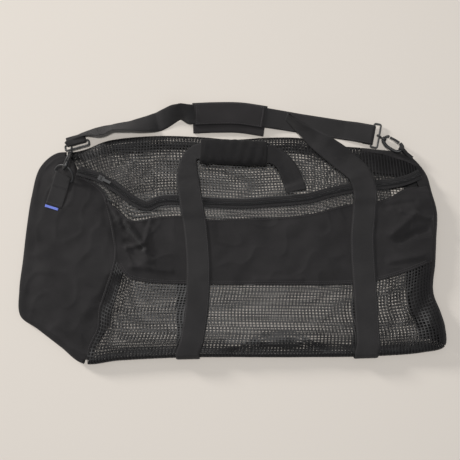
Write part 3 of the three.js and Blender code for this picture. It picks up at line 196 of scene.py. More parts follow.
# %% The outline and the seams
outline = Line([flat(u, v) for u, v in outline_rows], closed=True)
corner_places = dict(
    bottom_left=(0.165, 0.001), top_left=(0.115, 0.93), top_right=(0.81, 0.948),
    zipper_end=(0.966, 0.825), band_top_end=(0.972, 0.775), band_low_end=(0.981, 0.44),
    bottom_right=(0.998, 0.074),
)
corner = {name: outline.nearest(u, v) for name, (u, v) in corner_places.items()}


def outward(share):
    return left_of(outline.tangent(share))


def inside(share, distance):
    return outline.at(share) - outward(share) * distance


left_seam = Line([inside(corner["bottom_left"], fold_inset)] + [flat(u, v) for u, v in [
    (0.174, 0.079), (0.192, 0.153), (0.196, 0.236), (0.211, 0.323), (0.231, 0.459),
    (0.225, 0.559), (0.213, 0.659), (0.199, 0.738), (0.164, 0.793), (0.135, 0.817),
    (0.127, 0.86)]] + [inside(corner["top_left"], fold_inset)])
band_low_start = left_seam.nearest(0.231, 0.45)
band_low = Line([left_seam.at(band_low_start)] + [flat(u, v) for u, v in [
    (0.258, 0.376), (0.286, 0.358), (0.321, 0.349), (0.399, 0.344), (0.591, 0.341),
    (0.779, 0.345), (0.837, 0.358), (0.908, 0.397)]] + [inside(corner["band_low_end"], fold_inset)])
band_top_start = left_seam.nearest(0.208, 0.7)
band_top = Line([left_seam.at(band_top_start)] + [flat(u, v) for u, v in [
    (0.232, 0.672), (0.267, 0.617), (0.321, 0.631), (0.385, 0.638), (0.436, 0.624),
    (0.549, 0.627), (0.617, 0.631), (0.687, 0.646), (0.739, 0.672), (0.779, 0.69),
    (0.842, 0.703), (0.875, 0.722), (0.91, 0.757)]] + [inside(corner["band_top_end"], fold_inset)])
zipper = Line([flat(u, v) for u, v in [
    (0.139, 0.838), (0.19, 0.808), (0.232, 0.76), (0.27, 0.707), (0.303, 0.681), (0.333, 0.703),
    (0.378, 0.707), (0.432, 0.699), (0.532, 0.692), (0.584, 0.699), (0.682, 0.716),
    (0.72, 0.736), (0.779, 0.76), (0.837, 0.773), (0.875, 0.781), (0.917, 0.8), (0.945, 0.825)]])
top_edge = Line(
    [inside(corner["top_left"] + (corner["top_right"] - corner["top_left"]) * i / 13, fold_inset)
     for i in range(14)]
    + [flat(u, v) for u, v in [(0.861, 0.915), (0.896, 0.897), (0.924, 0.878), (0.94, 0.863)]])


def beside_zipper(share, distance):
    return zipper.at(share) + left_of(zipper.tangent(share)) * distance


print("outline", round(outline.length), "mm round, zipper", round(zipper.length), "mm long")

# %% [markdown]
# ## How high the front lies
# The empty bag keeps a little air. Its front falls towards the folds and has creases and humps,
# each a straight crest with a soft width. Straps and zipper look this height up to lie on it.

# %% Height of the front
# u1, v1, u2, v2, half width as a share of the height, height as a share of the loft
crests = [
    (0.222, 0.66, 0.285, 0.42, 0.028, -0.17), (0.24, 0.66, 0.305, 0.44, 0.03, 0.16),
    (0.24, 0.39, 0.3, 0.44, 0.03, 0.13), (0.205, 0.3, 0.225, 0.46, 0.035, 0.12),
    (0.18, 0.07, 0.235, 0.33, 0.04, -0.2), (0.5, 0.08, 0.69, 0.1, 0.045, 0.2),
    (0.52, 0.035, 0.7, 0.045, 0.02, -0.12), (0.955, 0.1, 0.965, 0.2, 0.06, 0.14),
    (0.935, 0.19, 0.975, 0.36, 0.03, -0.16), (0.87, 0.56, 0.96, 0.62, 0.03, 0.1),
    (0.88, 0.68, 0.965, 0.7, 0.028, 0.1), (0.25, 0.72, 0.36, 0.74, 0.04, 0.12),
    (0.09, 0.55, 0.17, 0.5, 0.08, -0.08), (0.06, 0.9, 0.13, 0.9, 0.1, -0.24),
    (0.9, 0.9, 0.95, 0.87, 0.1, -0.3),
]
outline_samples = outline.at(np.arange(240) / 240)


def near_line(p, a, b):
    along = b - a
    share = np.clip(((p - a) @ along) / (along @ along), 0, 1)
    return np.linalg.norm(p - (a + share[..., None] * along), axis=-1)


def least_distance(p, samples):
    flat_p = p.reshape(-1, 2)
    parts = [np.linalg.norm(chunk[:, None] - samples[None], axis=2).min(1)
             for chunk in np.array_split(flat_p, max(1, len(flat_p) // 20000))]
    return np.concatenate(parts).reshape(p.shape[:-1])


def soft_step(x, low, high):
    t = np.clip((x - low) / (high - low), 0, 1)
    return t * t * (3 - 2 * t)


def ridges(p, table):
    height = np.zeros(p.shape[:-1])
    for u1, v1, u2, v2, wide, high in table:
        gap = near_line(p, flat(u1, v1), flat(u2, v2))
        height = height + high * loft * np.exp(-(gap / (wide * bag_height)) ** 2)
    return height


left_fall, left_fall_ends = 0.3, 0.2  # shares of the loft and of the length


def front_height(p):
    p = np.asarray(p, float)[..., :2]
    height = loft - edge_drop * np.exp(-(least_distance(p, outline_samples) / edge_reach) ** 2)
    height = height - loft * left_fall * (1 - soft_step(p[..., 0] / bag_length, 0, left_fall_ends))
    return height + ridges(p, crests)


ring_of_eight = np.array([[math.cos(k * math.pi / 4), math.sin(k * math.pi / 4)] for k in range(8)])


def around(function, p, reach, pick):
    p = np.asarray(p, float)[..., :2]
    values = [function(p)] + [function(p + reach * step) for step in ring_of_eight]
    return pick(np.stack(values), axis=0)


cover_reach, strap_reach = 14, 16  # how far round a place a cover or a strap looks for its rest


def lap_height(p):
    return around(front_height, p, cover_reach, np.min) - lap_level


def cover_height(p):
    return around(front_height, p, cover_reach, np.max)


def under_front_height(p, reach):
    return around(lap_height, p, reach, np.max)


tape_level = lap_gap + tape_wall / 2
coil_level = tape_level + tape_wall / 2 + lap_gap / 2 + coil_height / 2
zip_points = zipper.at(np.linspace(0, 1, 160))
zip_tops = cover_height(zip_points) + coil_level + coil_height / 2


def top_height(p):
    p = np.asarray(p, float)[..., :2]
    gaps = np.linalg.norm(p[..., None, :] - zip_points, axis=-1)
    near = gaps.argmin(-1)
    cover = 1 - soft_step(gaps.min(-1), 0.55 * tape_width, 1.1 * tape_width)
    front = front_height(p)
    return front + (np.maximum(zip_tops[near], front) - front) * cover


def rest_height(p, reach):
    return around(top_height, p, reach, np.max)


print("front lies", round(float(front_height(flat(0.5, 0.5))), 1), "mm high in its middle")

# %% [markdown]
# ## Strap routes
# Each strap is a row of stations: a middle point, the direction of its width and its width.
# They are made here, before the cloth, because cloth lies calm under a strap.

# %% Strap stations
def direction(azimuth, slope=0.0):
    a, b = math.radians(azimuth), math.radians(slope)
    return np.array([math.cos(b) * math.cos(a), math.cos(b) * math.sin(a), math.sin(b)])


def raised(p, z):
    return np.array([p[0], p[1], z])


def strap_stations(rows, width, per_span):
    rows = np.array(rows, float)
    places = np.stack([rows[:, 0] * bag_length, rows[:, 1] * bag_height], 1)
    line = smooth_through(places, per_span)
    stations = []
    for i, place in enumerate(line):
        k = min(i // per_span, len(rows) - 2)
        u, v, rest, high, across, tip, wide = rows[k] + (rows[k + 1] - rows[k]) * (i / per_span - k)
        support = rest * float(rest_height(place, strap_reach)) if rest > 0 else 0
        lower_edge = abs(math.sin(math.radians(tip))) * width * wide / 2
        stations.append((raised(place, support + high * loft + lower_edge), direction(across, tip),
                         width * wide))
    return stations


on_front = (2 * lap_gap + webbing_wall / 2) / loft
on_floor = webbing_wall / 2 / loft


under_stations = 9  # stations of a handle below the bag and round its bottom fold
returned = 11  # stations of the right webbing over which it comes back under itself


def round_bottom(u, width):
    share = outline.nearest(u, 0.02)
    seat = inside(share, fold_inset)
    out = outward(share)
    top = float(rest_height(seat, strap_reach)) + lap_gap + webbing_wall / 2
    middle, rise = (top + webbing_wall / 2) / 2, (top - webbing_wall / 2) / 2
    reach = fold_inset + 3 * lap_gap + webbing_wall / 2
    side = np.array([-out[1], out[0], 0])
    stations = [(raised(flat(u, v), webbing_wall / 2), side, width) for v in (0.62, 0.31)]
    for k in range(7):
        angle = -math.pi / 2 + k * math.pi / 6
        p = seat + out * reach * math.cos(angle)
        stations.append((raised(p, middle + rise * math.sin(angle)), side, width))
    return stations


# Columns: u, v, rest, high, across, tip, wide
left_rows = [
    (0.409, 0.092, 1, on_front, -4, 0, 1), (0.42, 0.223, 1, on_front, -2, 0, 1),
    (0.424, 0.419, 1, on_front, 0, 0, 1), (0.417, 0.585, 1, on_front, 6, 0, 1),
    (0.408, 0.69, 1, on_front, 7, 0, 1), (0.4, 0.795, 1, on_front, 2, 0, 0.98),
    (0.401, 0.865, 1, on_front + 0.12, -18, 0, 0.8),
    (0.412, 0.909, 1, on_front + 0.36, -62, 0, 0.6),
    (0.432, 0.919, 1, 0.53, -88, 0, 0.72), (0.507, 0.915, 1, 0.53, -92, 0, 0.78),
    (0.582, 0.908, 1, 0.5, -95, 0, 0.78), (0.604, 0.898, 1, 0.3, -112, 8, 0.78),
    (0.622, 0.872, 1, on_front + 0.12, -134, 16, 0.82),
    (0.637, 0.83, 1, on_front + 0.04, -150, 10, 0.86),
    (0.647, 0.785, 1, on_front, -160, 0, 0.88), (0.653, 0.748, 1, on_front, -168, 0, 0.88),
]
doubled = 4.0
lifted = on_front + (doubled + lap_gap) / loft
right_rows = [
    (0.817, 0.09, 1, on_front, -2, 0, 1), (0.811, 0.314, 1, on_front, 2, 0, 1),
    (0.806, 0.537, 1, on_front, 1, 0, 1), (0.811, 0.65, 1, on_front, -3, 0, 1),
    (0.813, 0.745, 1, on_front, 4, 0, 1), (0.8, 0.817, 1, lifted, 22, 0, 1),
    (0.765, 0.88, 1, lifted, 46, 6, 1), (0.713, 0.948, 1, lifted + 0.1, 50, 34, 0.95),
    (0.668, 1.017, 0.4, lifted, 46, 66, 0.85), (0.633, 1.075, 0, 0.25, 44, 84, 0.8),
]
left_stations = round_bottom(0.399, handle_width) + strap_stations(left_rows, handle_width, 3)
right_stations = round_bottom(0.813, handle_width) + strap_stations(right_rows, handle_width, 3)


def turn_back(stations, start):
    def up_at(i):
        return unit(np.cross(stations[i][1], stations[i][0] - stations[i - 1][0]))

    tip, side, width = stations[-1]
    ahead = unit(tip - stations[-2][0])
    turn = [(tip + ahead * doubled / 2 * math.sin(k * math.pi / 4)
             - up_at(len(stations) - 1) * doubled / 2 * (1 - math.cos(k * math.pi / 4)), side, width)
            for k in (1, 2, 3)]
    under = [(stations[i][0] - up_at(i) * doubled, stations[i][1], stations[i][2] * 0.9)
             for i in range(len(stations) - 1, start - 1, -1)]
    return stations + turn + under


right_whole = turn_back(right_stations, len(right_stations) - returned)
print("handle webbings have", len(left_stations), "and", len(right_whole), "stations")

# %% Calm places under straps and zipper
strap_track = np.array([s[0][:2] for s in left_stations[under_stations:]
                        + right_stations[under_stations:]])
strap_calm, zipper_calm = (26, 46), (12, 26)  # millimetres: flat up to, free from


def calm(p):
    gap = least_distance(np.asarray(p, float)[..., :2], strap_track)
    zip_gap = least_distance(np.asarray(p, float)[..., :2], zip_points)
    return soft_step(gap, *strap_calm) * soft_step(zip_gap, *zipper_calm)


# %% [markdown]
# ## Making meshes
# Cloth, net and straps are all grids of points with a wall. One helper turns a grid into a
# sheet with two sides, and stores how far each point lies along the cloth as a UV map in
# metres, so that weave and thread have their real size and follow the cloth.

# %% Mesh helpers
group_shift = np.array([-406.286, -251.043, 0.0])


def to_metres(points):
    return (np.asarray(points, float) + group_shift) / 1000


def new_object(name, vertices, faces, uvs=None, smooth=True):
    mesh = bpy.data.meshes.new(name)
    mesh.from_pydata([tuple(v) for v in vertices], [], [tuple(f) for f in faces])
    mesh.polygons.foreach_set("use_smooth", [smooth] * len(mesh.polygons))
    if uvs is not None:
        layer = mesh.uv_layers.new(name="cloth")
        corners = np.zeros(len(mesh.loops), int)
        mesh.loops.foreach_get("vertex_index", corners)
        layer.data.foreach_set("uv", np.asarray(uvs, float)[corners].ravel())
    mesh.update()
    thing = bpy.data.objects.new(name, mesh)
    scene.collection.objects.link(thing)
    return thing


def grid_normals(grid):
    du, dv = np.gradient(grid, axis=1), np.gradient(grid, axis=0)
    return unit(np.cross(du, dv))


def grid_uv(grid):
    across = np.linalg.norm(np.diff(grid, axis=1), axis=-1)
    along = np.linalg.norm(np.diff(grid, axis=0), axis=-1)
    u = np.concatenate([np.zeros((len(grid), 1)), np.cumsum(across, axis=1)], axis=1)
    v = np.concatenate([np.zeros((1, grid.shape[1])), np.cumsum(along, axis=0)], axis=0)
    return np.stack([u, v], -1) / 1000


def walled_sheet(name, grid, wall, flip=False):
    """A cloth of a given wall: grid is its outer side, in millimetres."""
    normals = grid_normals(grid) * (-1 if flip else 1)
    rows, columns = grid.shape[:2]
    uv = grid_uv(grid)
    points = np.concatenate([grid.reshape(-1, 3), (grid - normals * wall).reshape(-1, 3)])
    uvs = np.concatenate([uv.reshape(-1, 2), uv.reshape(-1, 2)])
    index = np.arange(rows * columns).reshape(rows, columns)
    a, b, c, d = index[:-1, :-1], index[:-1, 1:], index[1:, 1:], index[1:, :-1]
    front = np.stack([a, b, c, d], -1).reshape(-1, 4)
    if flip:
        front = front[:, ::-1]
    size = rows * columns
    faces = [front, front[:, ::-1] + size]
    rim = [index[0], index[:, -1], index[-1][::-1], index[:, 0][::-1]]
    for edge in rim:
        side = np.stack([edge[1:], edge[:-1], edge[:-1] + size, edge[1:] + size], -1)
        faces.append(side[:, ::-1] if flip else side)
    return new_object(name, to_metres(points), np.concatenate(faces), uvs)


def coons(low, high, left, right, columns, rows):
    s = np.linspace(0, 1, columns + 1)
    t = np.linspace(0, 1, rows + 1)
    lo, hi, le, ri = low(s), high(s), left(t), right(t)
    s_, t_ = s[None, :, None], t[:, None, None]
    return (lo[None] * (1 - t_) + hi[None] * t_ + le[:, None] * (1 - s_) + ri[:, None] * s_
            - lo[0] * (1 - s_) * (1 - t_) - lo[-1] * s_ * (1 - t_)
            - hi[0] * (1 - s_) * t_ - hi[-1] * s_ * t_)


def with_height(grid, height):
    return np.concatenate([grid, np.asarray(height(grid))[..., None]], -1)


def smoothed_noise(p, scale, seed):
    """Soft random hills, the same each run, from a few turned sine waves."""
    rng = np.random.default_rng(seed)
    total = np.zeros(p.shape[:-1])
    for _ in range(7):
        angle = rng.uniform(0, 2 * math.pi)
        step = scale * rng.uniform(0.7, 1.5)
        wave = np.array([math.cos(angle), math.sin(angle)]) * 2 * math.pi / step
        total = total + np.sin(p[..., :2] @ wave + rng.uniform(0, 6.28))
    return total / 7


print("helpers ready")

# %% [markdown]
# ## Materials
# Everything is black, but each kind of black is different: cloth shows a fine weave and a dusty
# bloom, webbing shows its ribs, the net's strands are smooth threads with small highlights, and
# the hooks have a chipped black coat.

# %% Materials
def material(name, colour, roughness, metallic=0.0, sheen=0.0, specular=0.5):
    made = bpy.data.materials.new(name)
    made.use_nodes = True
    shader = made.node_tree.nodes["Principled BSDF"]
    shader.inputs["Base Color"].default_value = (*colour, 1)
    shader.inputs["Roughness"].default_value = roughness
    shader.inputs["Metallic"].default_value = metallic
    shader.inputs["Specular IOR Level"].default_value = specular
    shader.inputs["Sheen Weight"].default_value = sheen
    shader.inputs["Sheen Roughness"].default_value = 0.4
    return made


def link_all(tree, rows):
    """Each row: a node, its output, the node that takes it and that node's input."""
    for source, output, target, entry in rows:
        tree.links.new(source.outputs[output], target.inputs[entry])


def add_node(made, kind, values, **settings):
    """A new node of a material, with the values of its inputs and its settings."""
    node = made.node_tree.nodes.new(kind)
    for name, value in settings.items():
        setattr(node, name, value)
    for entry, value in values.items():
        node.inputs[entry].default_value = value
    return node


def mix_colours(made, low, high, source, output):
    ramp = add_node(made, "ShaderNodeMix", {}, data_type="RGBA")
    ramp.inputs["A"].default_value = (*low, 1)
    ramp.inputs["B"].default_value = (*high, 1)
    shader = made.node_tree.nodes["Principled BSDF"]
    link_all(made.node_tree, [(source, output, ramp, "Factor"), (ramp, "Result", shader, "Base Color")])


def woven(name, dark, light, threads, rib, roughness, sheen, depth):
    """Cloth whose threads lie along its own UV map, which is in metres."""
    made = material(name, dark, roughness, sheen=sheen, specular=0.25)
    uv = add_node(made, "ShaderNodeUVMap", {}, uv_map="cloth")
    weave = add_node(made, "ShaderNodeMath", {}, operation="MULTIPLY")
    for entry, (across, turns) in enumerate((("X", 1.0), ("Y", rib))):
        wave = add_node(made, "ShaderNodeTexWave",
                        {"Scale": threads * turns, "Distortion": 0.6, "Detail": 1},
                        wave_type="BANDS", bands_direction=across)
        link_all(made.node_tree, [(uv, "UV", wave, "Vector"), (wave, "Fac", weave, entry)])
    place = add_node(made, "ShaderNodeTexCoord", {})
    dust = add_node(made, "ShaderNodeTexNoise", {"Scale": 22, "Detail": 5})
    half = add_node(made, "ShaderNodeMath", {1: 0.75}, operation="MULTIPLY")
    both = add_node(made, "ShaderNodeMath", {1: 0.5}, operation="MULTIPLY_ADD")
    bump = add_node(made, "ShaderNodeBump", {"Strength": 0.55, "Distance": depth})
    link_all(made.node_tree, [
        (place, "Object", dust, "Vector"), (dust, "Fac", half, 0), (weave, "Value", both, 0),
        (half, "Value", both, 2), (weave, "Value", bump, "Height"),
        (bump, "Normal", made.node_tree.nodes["Principled BSDF"], "Normal"),
    ])
    mix_colours(made, dark, light, both, "Value")
    return made


weaves = {
    # dark, light, scale of the weave, rib, roughness, sheen, depth in metres
    "panel cloth": ((0.0062, 0.0057, 0.006), (0.036, 0.0335, 0.0343), 560, 1, 0.82, 0.06, 0.0004),
    "webbing": ((0.011, 0.0104, 0.0107), (0.041, 0.0387, 0.0392), 240, 2.2, 0.78, 0.05, 0.0006),
    "pad cloth": ((0.0125, 0.0113, 0.0117), (0.033, 0.03, 0.031), 480, 1, 0.84, 0.06, 0.0004),
    "wrap cloth": ((0.0055, 0.005, 0.0053), (0.014, 0.013, 0.0134), 700, 1, 0.8, 0.06, 0.0003),
    "zipper tape": ((0.0085, 0.008, 0.0084), (0.022, 0.021, 0.0214), 420, 1.6, 0.82, 0.05, 0.0003),
    "blue tag": ((0.14, 0.19, 0.62), (0.2, 0.26, 0.72), 900, 1, 0.7, 0.1, 0.0002),
}
panel_cloth, strap_web, pad_cloth, wrap_cloth, zip_tape, blue_tag = (
    woven(name, *values) for name, values in weaves.items())
net_thread = material("net thread", (0.014, 0.0132, 0.0136), 0.45, specular=0.3)
stitch_thread = material("stitch thread", (0.07, 0.066, 0.068), 0.5)
zip_plastic = material("zipper plastic", (0.02, 0.02, 0.021), 0.34)


def coated_metal(name, coat, worn, wear):
    made = material(name, coat, 0.42, metallic=0.2, specular=0.45)
    place = add_node(made, "ShaderNodeTexCoord", {})
    chips = add_node(made, "ShaderNodeTexNoise", {"Scale": 240, "Detail": 3})
    ramp = add_node(made, "ShaderNodeMapRange",
                    {"From Min": 1 - wear, "From Max": 1 - wear + 0.05})
    link_all(made.node_tree, [(place, "Object", chips, "Vector"), (chips, "Fac", ramp, "Value")])
    mix_colours(made, coat, worn, ramp, "Result")
    return made


hook_coat = coated_metal("hook coat", (0.022, 0.022, 0.023), (0.2, 0.19, 0.175), 0.3)
ring_coat = coated_metal("ring coat", (0.045, 0.045, 0.046), (0.24, 0.23, 0.21), 0.32)
slider_coat = coated_metal("slider coat", (0.018, 0.018, 0.019), (0.22, 0.21, 0.2), 0.29)

floor_look = material("floor", (0.735, 0.682, 0.622), 0.9, specular=0.2)
floor.data.materials.append(floor_look)


def dress(thing, made):
    thing.data.materials.clear()
    thing.data.materials.append(made)
    for polygon in thing.data.polygons:
        polygon.material_index = 0
    return thing


for name, made in (("zipper_slider", slider_coat), ("zipper_pull", slider_coat)):
    node = bpy.data.objects[name]
    for k in range(max(1, len(node.material_slots))):
        if node.material_slots:
            node.material_slots[k].material = made
        else:
            node.data.materials.append(made)
print("materials ready")

# %% [markdown]
# ## The net
# The panels are taken to be a coated net with a pitch of about 6 mm. Here each panel is a grid
# with one face for each hole, and its rows run between the panel's edges. Geometry Nodes takes
# the middle out of each face and gives what stays the thickness of a thread.

# %% The net's node tree
def net_tree():
    tree = bpy.data.node_groups.new("net", "GeometryNodeTree")
    face = tree.interface
    face.new_socket("Geometry", in_out="INPUT", socket_type="NodeSocketGeometry")
    hole = face.new_socket("Hole", in_out="INPUT", socket_type="NodeSocketFloat")
    thread = face.new_socket("Thread", in_out="INPUT", socket_type="NodeSocketFloat")
    look = face.new_socket("Look", in_out="INPUT", socket_type="NodeSocketMaterial")
    face.new_socket("Geometry", in_out="OUTPUT", socket_type="NodeSocketGeometry")
    nodes = tree.nodes
    start, end = nodes.new("NodeGroupInput"), nodes.new("NodeGroupOutput")
    open_up = nodes.new("GeometryNodeExtrudeMesh")
    open_up.mode = "FACES"
    open_up.inputs["Offset Scale"].default_value = 0
    open_up.inputs["Individual"].default_value = True
    shrink = nodes.new("GeometryNodeScaleElements")
    drop = nodes.new("GeometryNodeDeleteGeometry")
    drop.domain = "FACE"
    thicken = nodes.new("GeometryNodeExtrudeMesh")
    thicken.mode = "FACES"
    thicken.inputs["Individual"].default_value = False
    flip = nodes.new("GeometryNodeFlipFaces")
    join = nodes.new("GeometryNodeJoinGeometry")
    weld = nodes.new("GeometryNodeMergeByDistance")
    weld.inputs["Distance"].default_value = 0.00001
    realize = nodes.new("GeometryNodeRealizeInstances")
    paint = nodes.new("GeometryNodeSetMaterial")
    link_all(tree, [
        (start, "Geometry", open_up, "Mesh"), (open_up, "Mesh", shrink, "Geometry"),
        (open_up, "Top", shrink, "Selection"), (start, "Hole", shrink, "Scale"),
        (shrink, "Geometry", drop, "Geometry"), (open_up, "Top", drop, "Selection"),
        (drop, "Geometry", thicken, "Mesh"), (start, "Thread", thicken, "Offset Scale"),
        (drop, "Geometry", flip, "Mesh"), (flip, "Mesh", join, "Geometry"),
        (thicken, "Mesh", join, "Geometry"), (join, "Geometry", weld, "Geometry"),
        (weld, "Geometry", realize, "Geometry"), (realize, "Geometry", paint, "Geometry"),
        (start, "Look", paint, "Material"), (paint, "Geometry", end, "Geometry"),
    ])
    return tree, hole.identifier, thread.identifier, look.identifier


net_group, hole_input, thread_input, look_input = net_tree()


def net_panel(name, grid, hole, thread=1.0, upwards=True):
    """A net whose holes are the faces of a grid, in millimetres; its outer side is the grid."""
    rows, columns = grid.shape[:2]
    index = np.arange(rows * columns).reshape(rows, columns)
    faces = np.stack([index[:-1, :-1], index[:-1, 1:], index[1:, 1:], index[1:, :-1]], -1)
    faces = faces.reshape(-1, 4)
    if not upwards:
        faces = faces[:, ::-1]
    low = grid - grid_normals(grid) * (thread if upwards else -thread)
    sheet = new_object(name + "_grid", to_metres(low.reshape(-1, 3)), faces, smooth=False)
    modifier = sheet.modifiers.new("net", "NODES")
    modifier.node_group = net_group
    modifier[hole_input] = hole
    modifier[thread_input] = thread / 1000
    modifier[look_input] = net_thread
    ready = sheet.evaluated_get(bpy.context.evaluated_depsgraph_get())
    mesh = bpy.data.meshes.new_from_object(ready)
    bpy.data.objects.remove(sheet)
    net = bpy.data.objects.new(name, mesh)
    mesh.name = name
    if not mesh.materials:
        mesh.materials.append(net_thread)
    mesh.polygons.foreach_set("use_smooth", [False] * len(mesh.polygons))
    scene.collection.objects.link(net)
    print(name, len(faces), "holes,", sum(len(p.vertices) - 2 for p in mesh.polygons), "triangles")
    return net


def wrinkled(p, high=1.0):
    """Small creases of the net and cloth, calm under straps and zipper, in millimetres."""
    bent = p[..., :2] + 14 * np.stack([smoothed_noise(p, 110, 21), smoothed_noise(p, 120, 22)], -1)
    soft = 1.5 * smoothed_noise(bent, 105, 3) + 0.75 * smoothed_noise(bent, 46, 5)
    sharp = 1 - np.abs(smoothed_noise(bent, 74, 8)) * 3.2
    return high * calm(p) * (soft + 0.9 * np.maximum(sharp, 0) ** 2)


half_gap = seam_gap / 2


def on_seam(k0, k1):
    return lambda t: left_seam.at(k0 + (k1 - k0) * t)


def on_edge(k0, k1, inset=fold_inset):
    return lambda t: inside(k0 + (k1 - k0) * t, inset)


def between(a, b):
    return lambda t: a + (b - a) * t[:, None]


def lifted_line(line, y, stop=1.0):
    return lambda s: line.at(s * stop) + np.array([0, y])


def net_height(p):
    return front_height(p) + 0.7 * wrinkled(p) - 0.4


# %% Net panels of the front
bottom_end = corner["bottom_left"] if corner["bottom_left"] > 0.5 else corner["bottom_left"] + 1
bottom_edge = on_edge(bottom_end, corner["bottom_right"])
lower_grid = with_height(
    coons(bottom_edge, lifted_line(band_low, -half_gap), on_seam(0, band_low_start),
          on_edge(corner["bottom_right"], corner["band_low_end"]), 101, 27), net_height)
front_lower_mesh = net_panel("front_lower_net", lower_grid, 0.7)
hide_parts("front_lower_mesh")

strip_end = 23 / 26
strip_start = left_seam.nearest(0.137, 0.815)
strip_end_place = band_top.at(strip_end)
strip_zip_end = zipper.nearest(strip_end_place[0] / bag_length, strip_end_place[1] / bag_height)


def strip_high(s):
    return beside_zipper(np.asarray(s) * strip_zip_end, -mesh_under_tape)


strip_low = lifted_line(band_top, half_gap, strip_end)
first = np.array([0.0])


def strip_left(t):
    line = on_seam(band_top_start, strip_start)(t)
    line[-1] = strip_high(first)[0]
    return line


strip_grid = with_height(
    coons(strip_low, strip_high, strip_left,
          between(strip_low(first + 1)[0], strip_high(first + 1)[0]), 97, 8), net_height)
front_mesh_strip = net_panel("front_net_strip", strip_grid, 0.7)
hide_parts("front_mesh_strip")


def top_low(s):
    return beside_zipper(s, mesh_under_tape)


top_grid = with_height(
    coons(top_low, top_edge.at, between(top_low(first)[0], top_edge.at(first)[0]),
          between(top_low(first + 1)[0], top_edge.at(first + 1)[0]), 110, 22), net_height)
top_mesh = net_panel("top_net", top_grid, 0.7)
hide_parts("top_mesh")


# %% [markdown]
# ## Folded walls
# At the outline the front turns over a soft fold and goes back under the bag: net along the top
# and the bottom, cloth at the two ends. The left end panel lies folded flat, so a wide tongue of
# it shows.

# %% Sections of the folds
def fold_grid(shares, base, laps, unders, towards=None, steps=10):
    sections = []
    for i, share in enumerate(shares):
        out = outward(share)
        seat = inside(share, fold_inset)
        inwards = -out if towards is None else unit(towards[i] - seat)
        row = []
        for reach in laps[i]:
            p = seat + inwards * reach
            row.append(raised(p, float(lap_height(p))))
        top = float(lap_height(seat))
        middle, rise = (top + base) / 2, (top - base) / 2
        for k in range(steps + 1):
            a = math.pi / 2 - k * math.pi / steps
            p = seat + out * fold_inset * math.cos(a)
            row.append(raised(p, middle + rise * math.sin(a)))
        for reach in unders[i]:
            row.append(raised(seat + inwards * reach, base))
        sections.append(row)
    return np.array(sections)


def lap_scale(t, start, end):
    scale = start + (1 - start) * min(1, 6 * t)
    return scale + (end - scale) * max(0, 6 * t - 5)


def folded(from_share, to_share, steps, base, laps, unders, start, end, count, under):
    ts = np.linspace(0, 1, steps + 1)
    shares = from_share + (to_share - from_share) * ts
    laps = np.broadcast_to(laps, ts.shape)
    lap_rows = [np.linspace(lap * lap_scale(t, start, end), 0, count, endpoint=False)
                for lap, t in zip(laps, ts)]
    return fold_grid(shares, base, lap_rows, [np.linspace(unders / under, unders, under)] * len(ts))


wall_gap = 2 * seam_gap / outline.length
corner_trim = 1.3 * lap_width / outline.length
bottom_shares = np.linspace(0, 1, 113)
# The bottom panel reaches up under the front in a hump between the handles. There the net lies doubled,
# which darkens the zone by the hump fold. The darkening is partly a real doubled fold and partly
# painted shade.
hump_and_painted_shade = (30 * np.exp(-((bottom_shares - 0.47) / 0.085) ** 4)
        + 8 * np.exp(-((bottom_shares - 0.33) / 0.1) ** 2))
bottom_grid = folded(corner["bottom_right"], bottom_end - 0.2 * corner_trim, 112, under_webbing,
                     1.3 * lap_width + hump_and_painted_shade, 1.6 * lap_width, 0.3, 0.3, count=6, under=2)
top_shares = np.linspace(0, 1, 97)
top_fold_grid = folded(corner["top_left"] + 0.2 * corner_trim, corner["top_right"] - wall_gap, 96,
                       under_webbing, 2.4 * lap_width + 5 * np.sin(9 * top_shares), 1.6 * lap_width,
                       0.3, 1, count=4, under=2)
bottom_fold = net_panel("bottom_net_fold", bottom_grid, 0.6, 1.0, upwards=False)
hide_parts("bottom_fold")
top_fold = net_panel("top_net_fold", top_fold_grid, 0.6, 1.0, upwards=False)
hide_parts("top_fold")

# %% Back net
back_inset = fold_inset + 1.5
back_low = on_edge(bottom_end, corner["bottom_right"], back_inset)
back_from = corner["top_left"] + (corner["zipper_end"] - corner["top_left"]) * 0.03
back_high = on_edge(back_from, corner["zipper_end"], back_inset)
back_right = on_edge(corner["bottom_right"], corner["zipper_end"], back_inset)


def back_seam(t):
    line = left_seam.at(t) + np.array([lap_width, 0])
    line[0], line[-1] = back_low(first)[0], back_high(first)[0]
    return line


back_grid = with_height(coons(back_low, back_high, back_seam, back_right, 98, 66),
                        lambda p: np.full(p.shape[:-1], back_level))
back_mesh = net_panel("back_net", back_grid, 0.8, 0.8)
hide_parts("back_mesh")
for net in (front_lower_mesh, front_mesh_strip, top_mesh, bottom_fold, top_fold, back_mesh):
    print(net.name, [round(v, 3) for v in net.dimensions])

# %% [markdown]
# ## Cloth panels
# Band and end panels are woven cloth, sewn to the net. The band keeps
# the deep crease by the left seam and the soft star of folds at its lower left corner. The
# creases are narrow ridges added to the height of the front.

# %% Creases of the band
# u1, v1, u2, v2, half width in shares of the height, height in shares of the loft
band_creases = [
    (0.213, 0.71, 0.245, 0.6, 0.012, 0.09), (0.245, 0.6, 0.292, 0.5, 0.013, -0.11),
    (0.255, 0.61, 0.303, 0.49, 0.012, 0.1), (0.256, 0.528, 0.292, 0.5, 0.014, -0.08),
    (0.258, 0.5, 0.3, 0.52, 0.011, 0.08), (0.3, 0.655, 0.305, 0.6, 0.014, -0.07),
    (0.302, 0.54, 0.31, 0.62, 0.011, 0.06), (0.27, 0.42, 0.36, 0.4, 0.014, 0.05),
    (0.875, 0.56, 0.93, 0.65, 0.016, 0.07), (0.89, 0.53, 0.955, 0.58, 0.014, -0.06),
    (0.9, 0.66, 0.965, 0.63, 0.013, 0.06), (0.87, 0.44, 0.95, 0.47, 0.016, 0.06),
    (0.86, 0.68, 0.93, 0.7, 0.012, -0.05), (0.56, 0.36, 0.66, 0.365, 0.015, 0.05),
]


crease_depth, band_wrinkles, end_wrinkles = 2.6, 1.9, 2.3


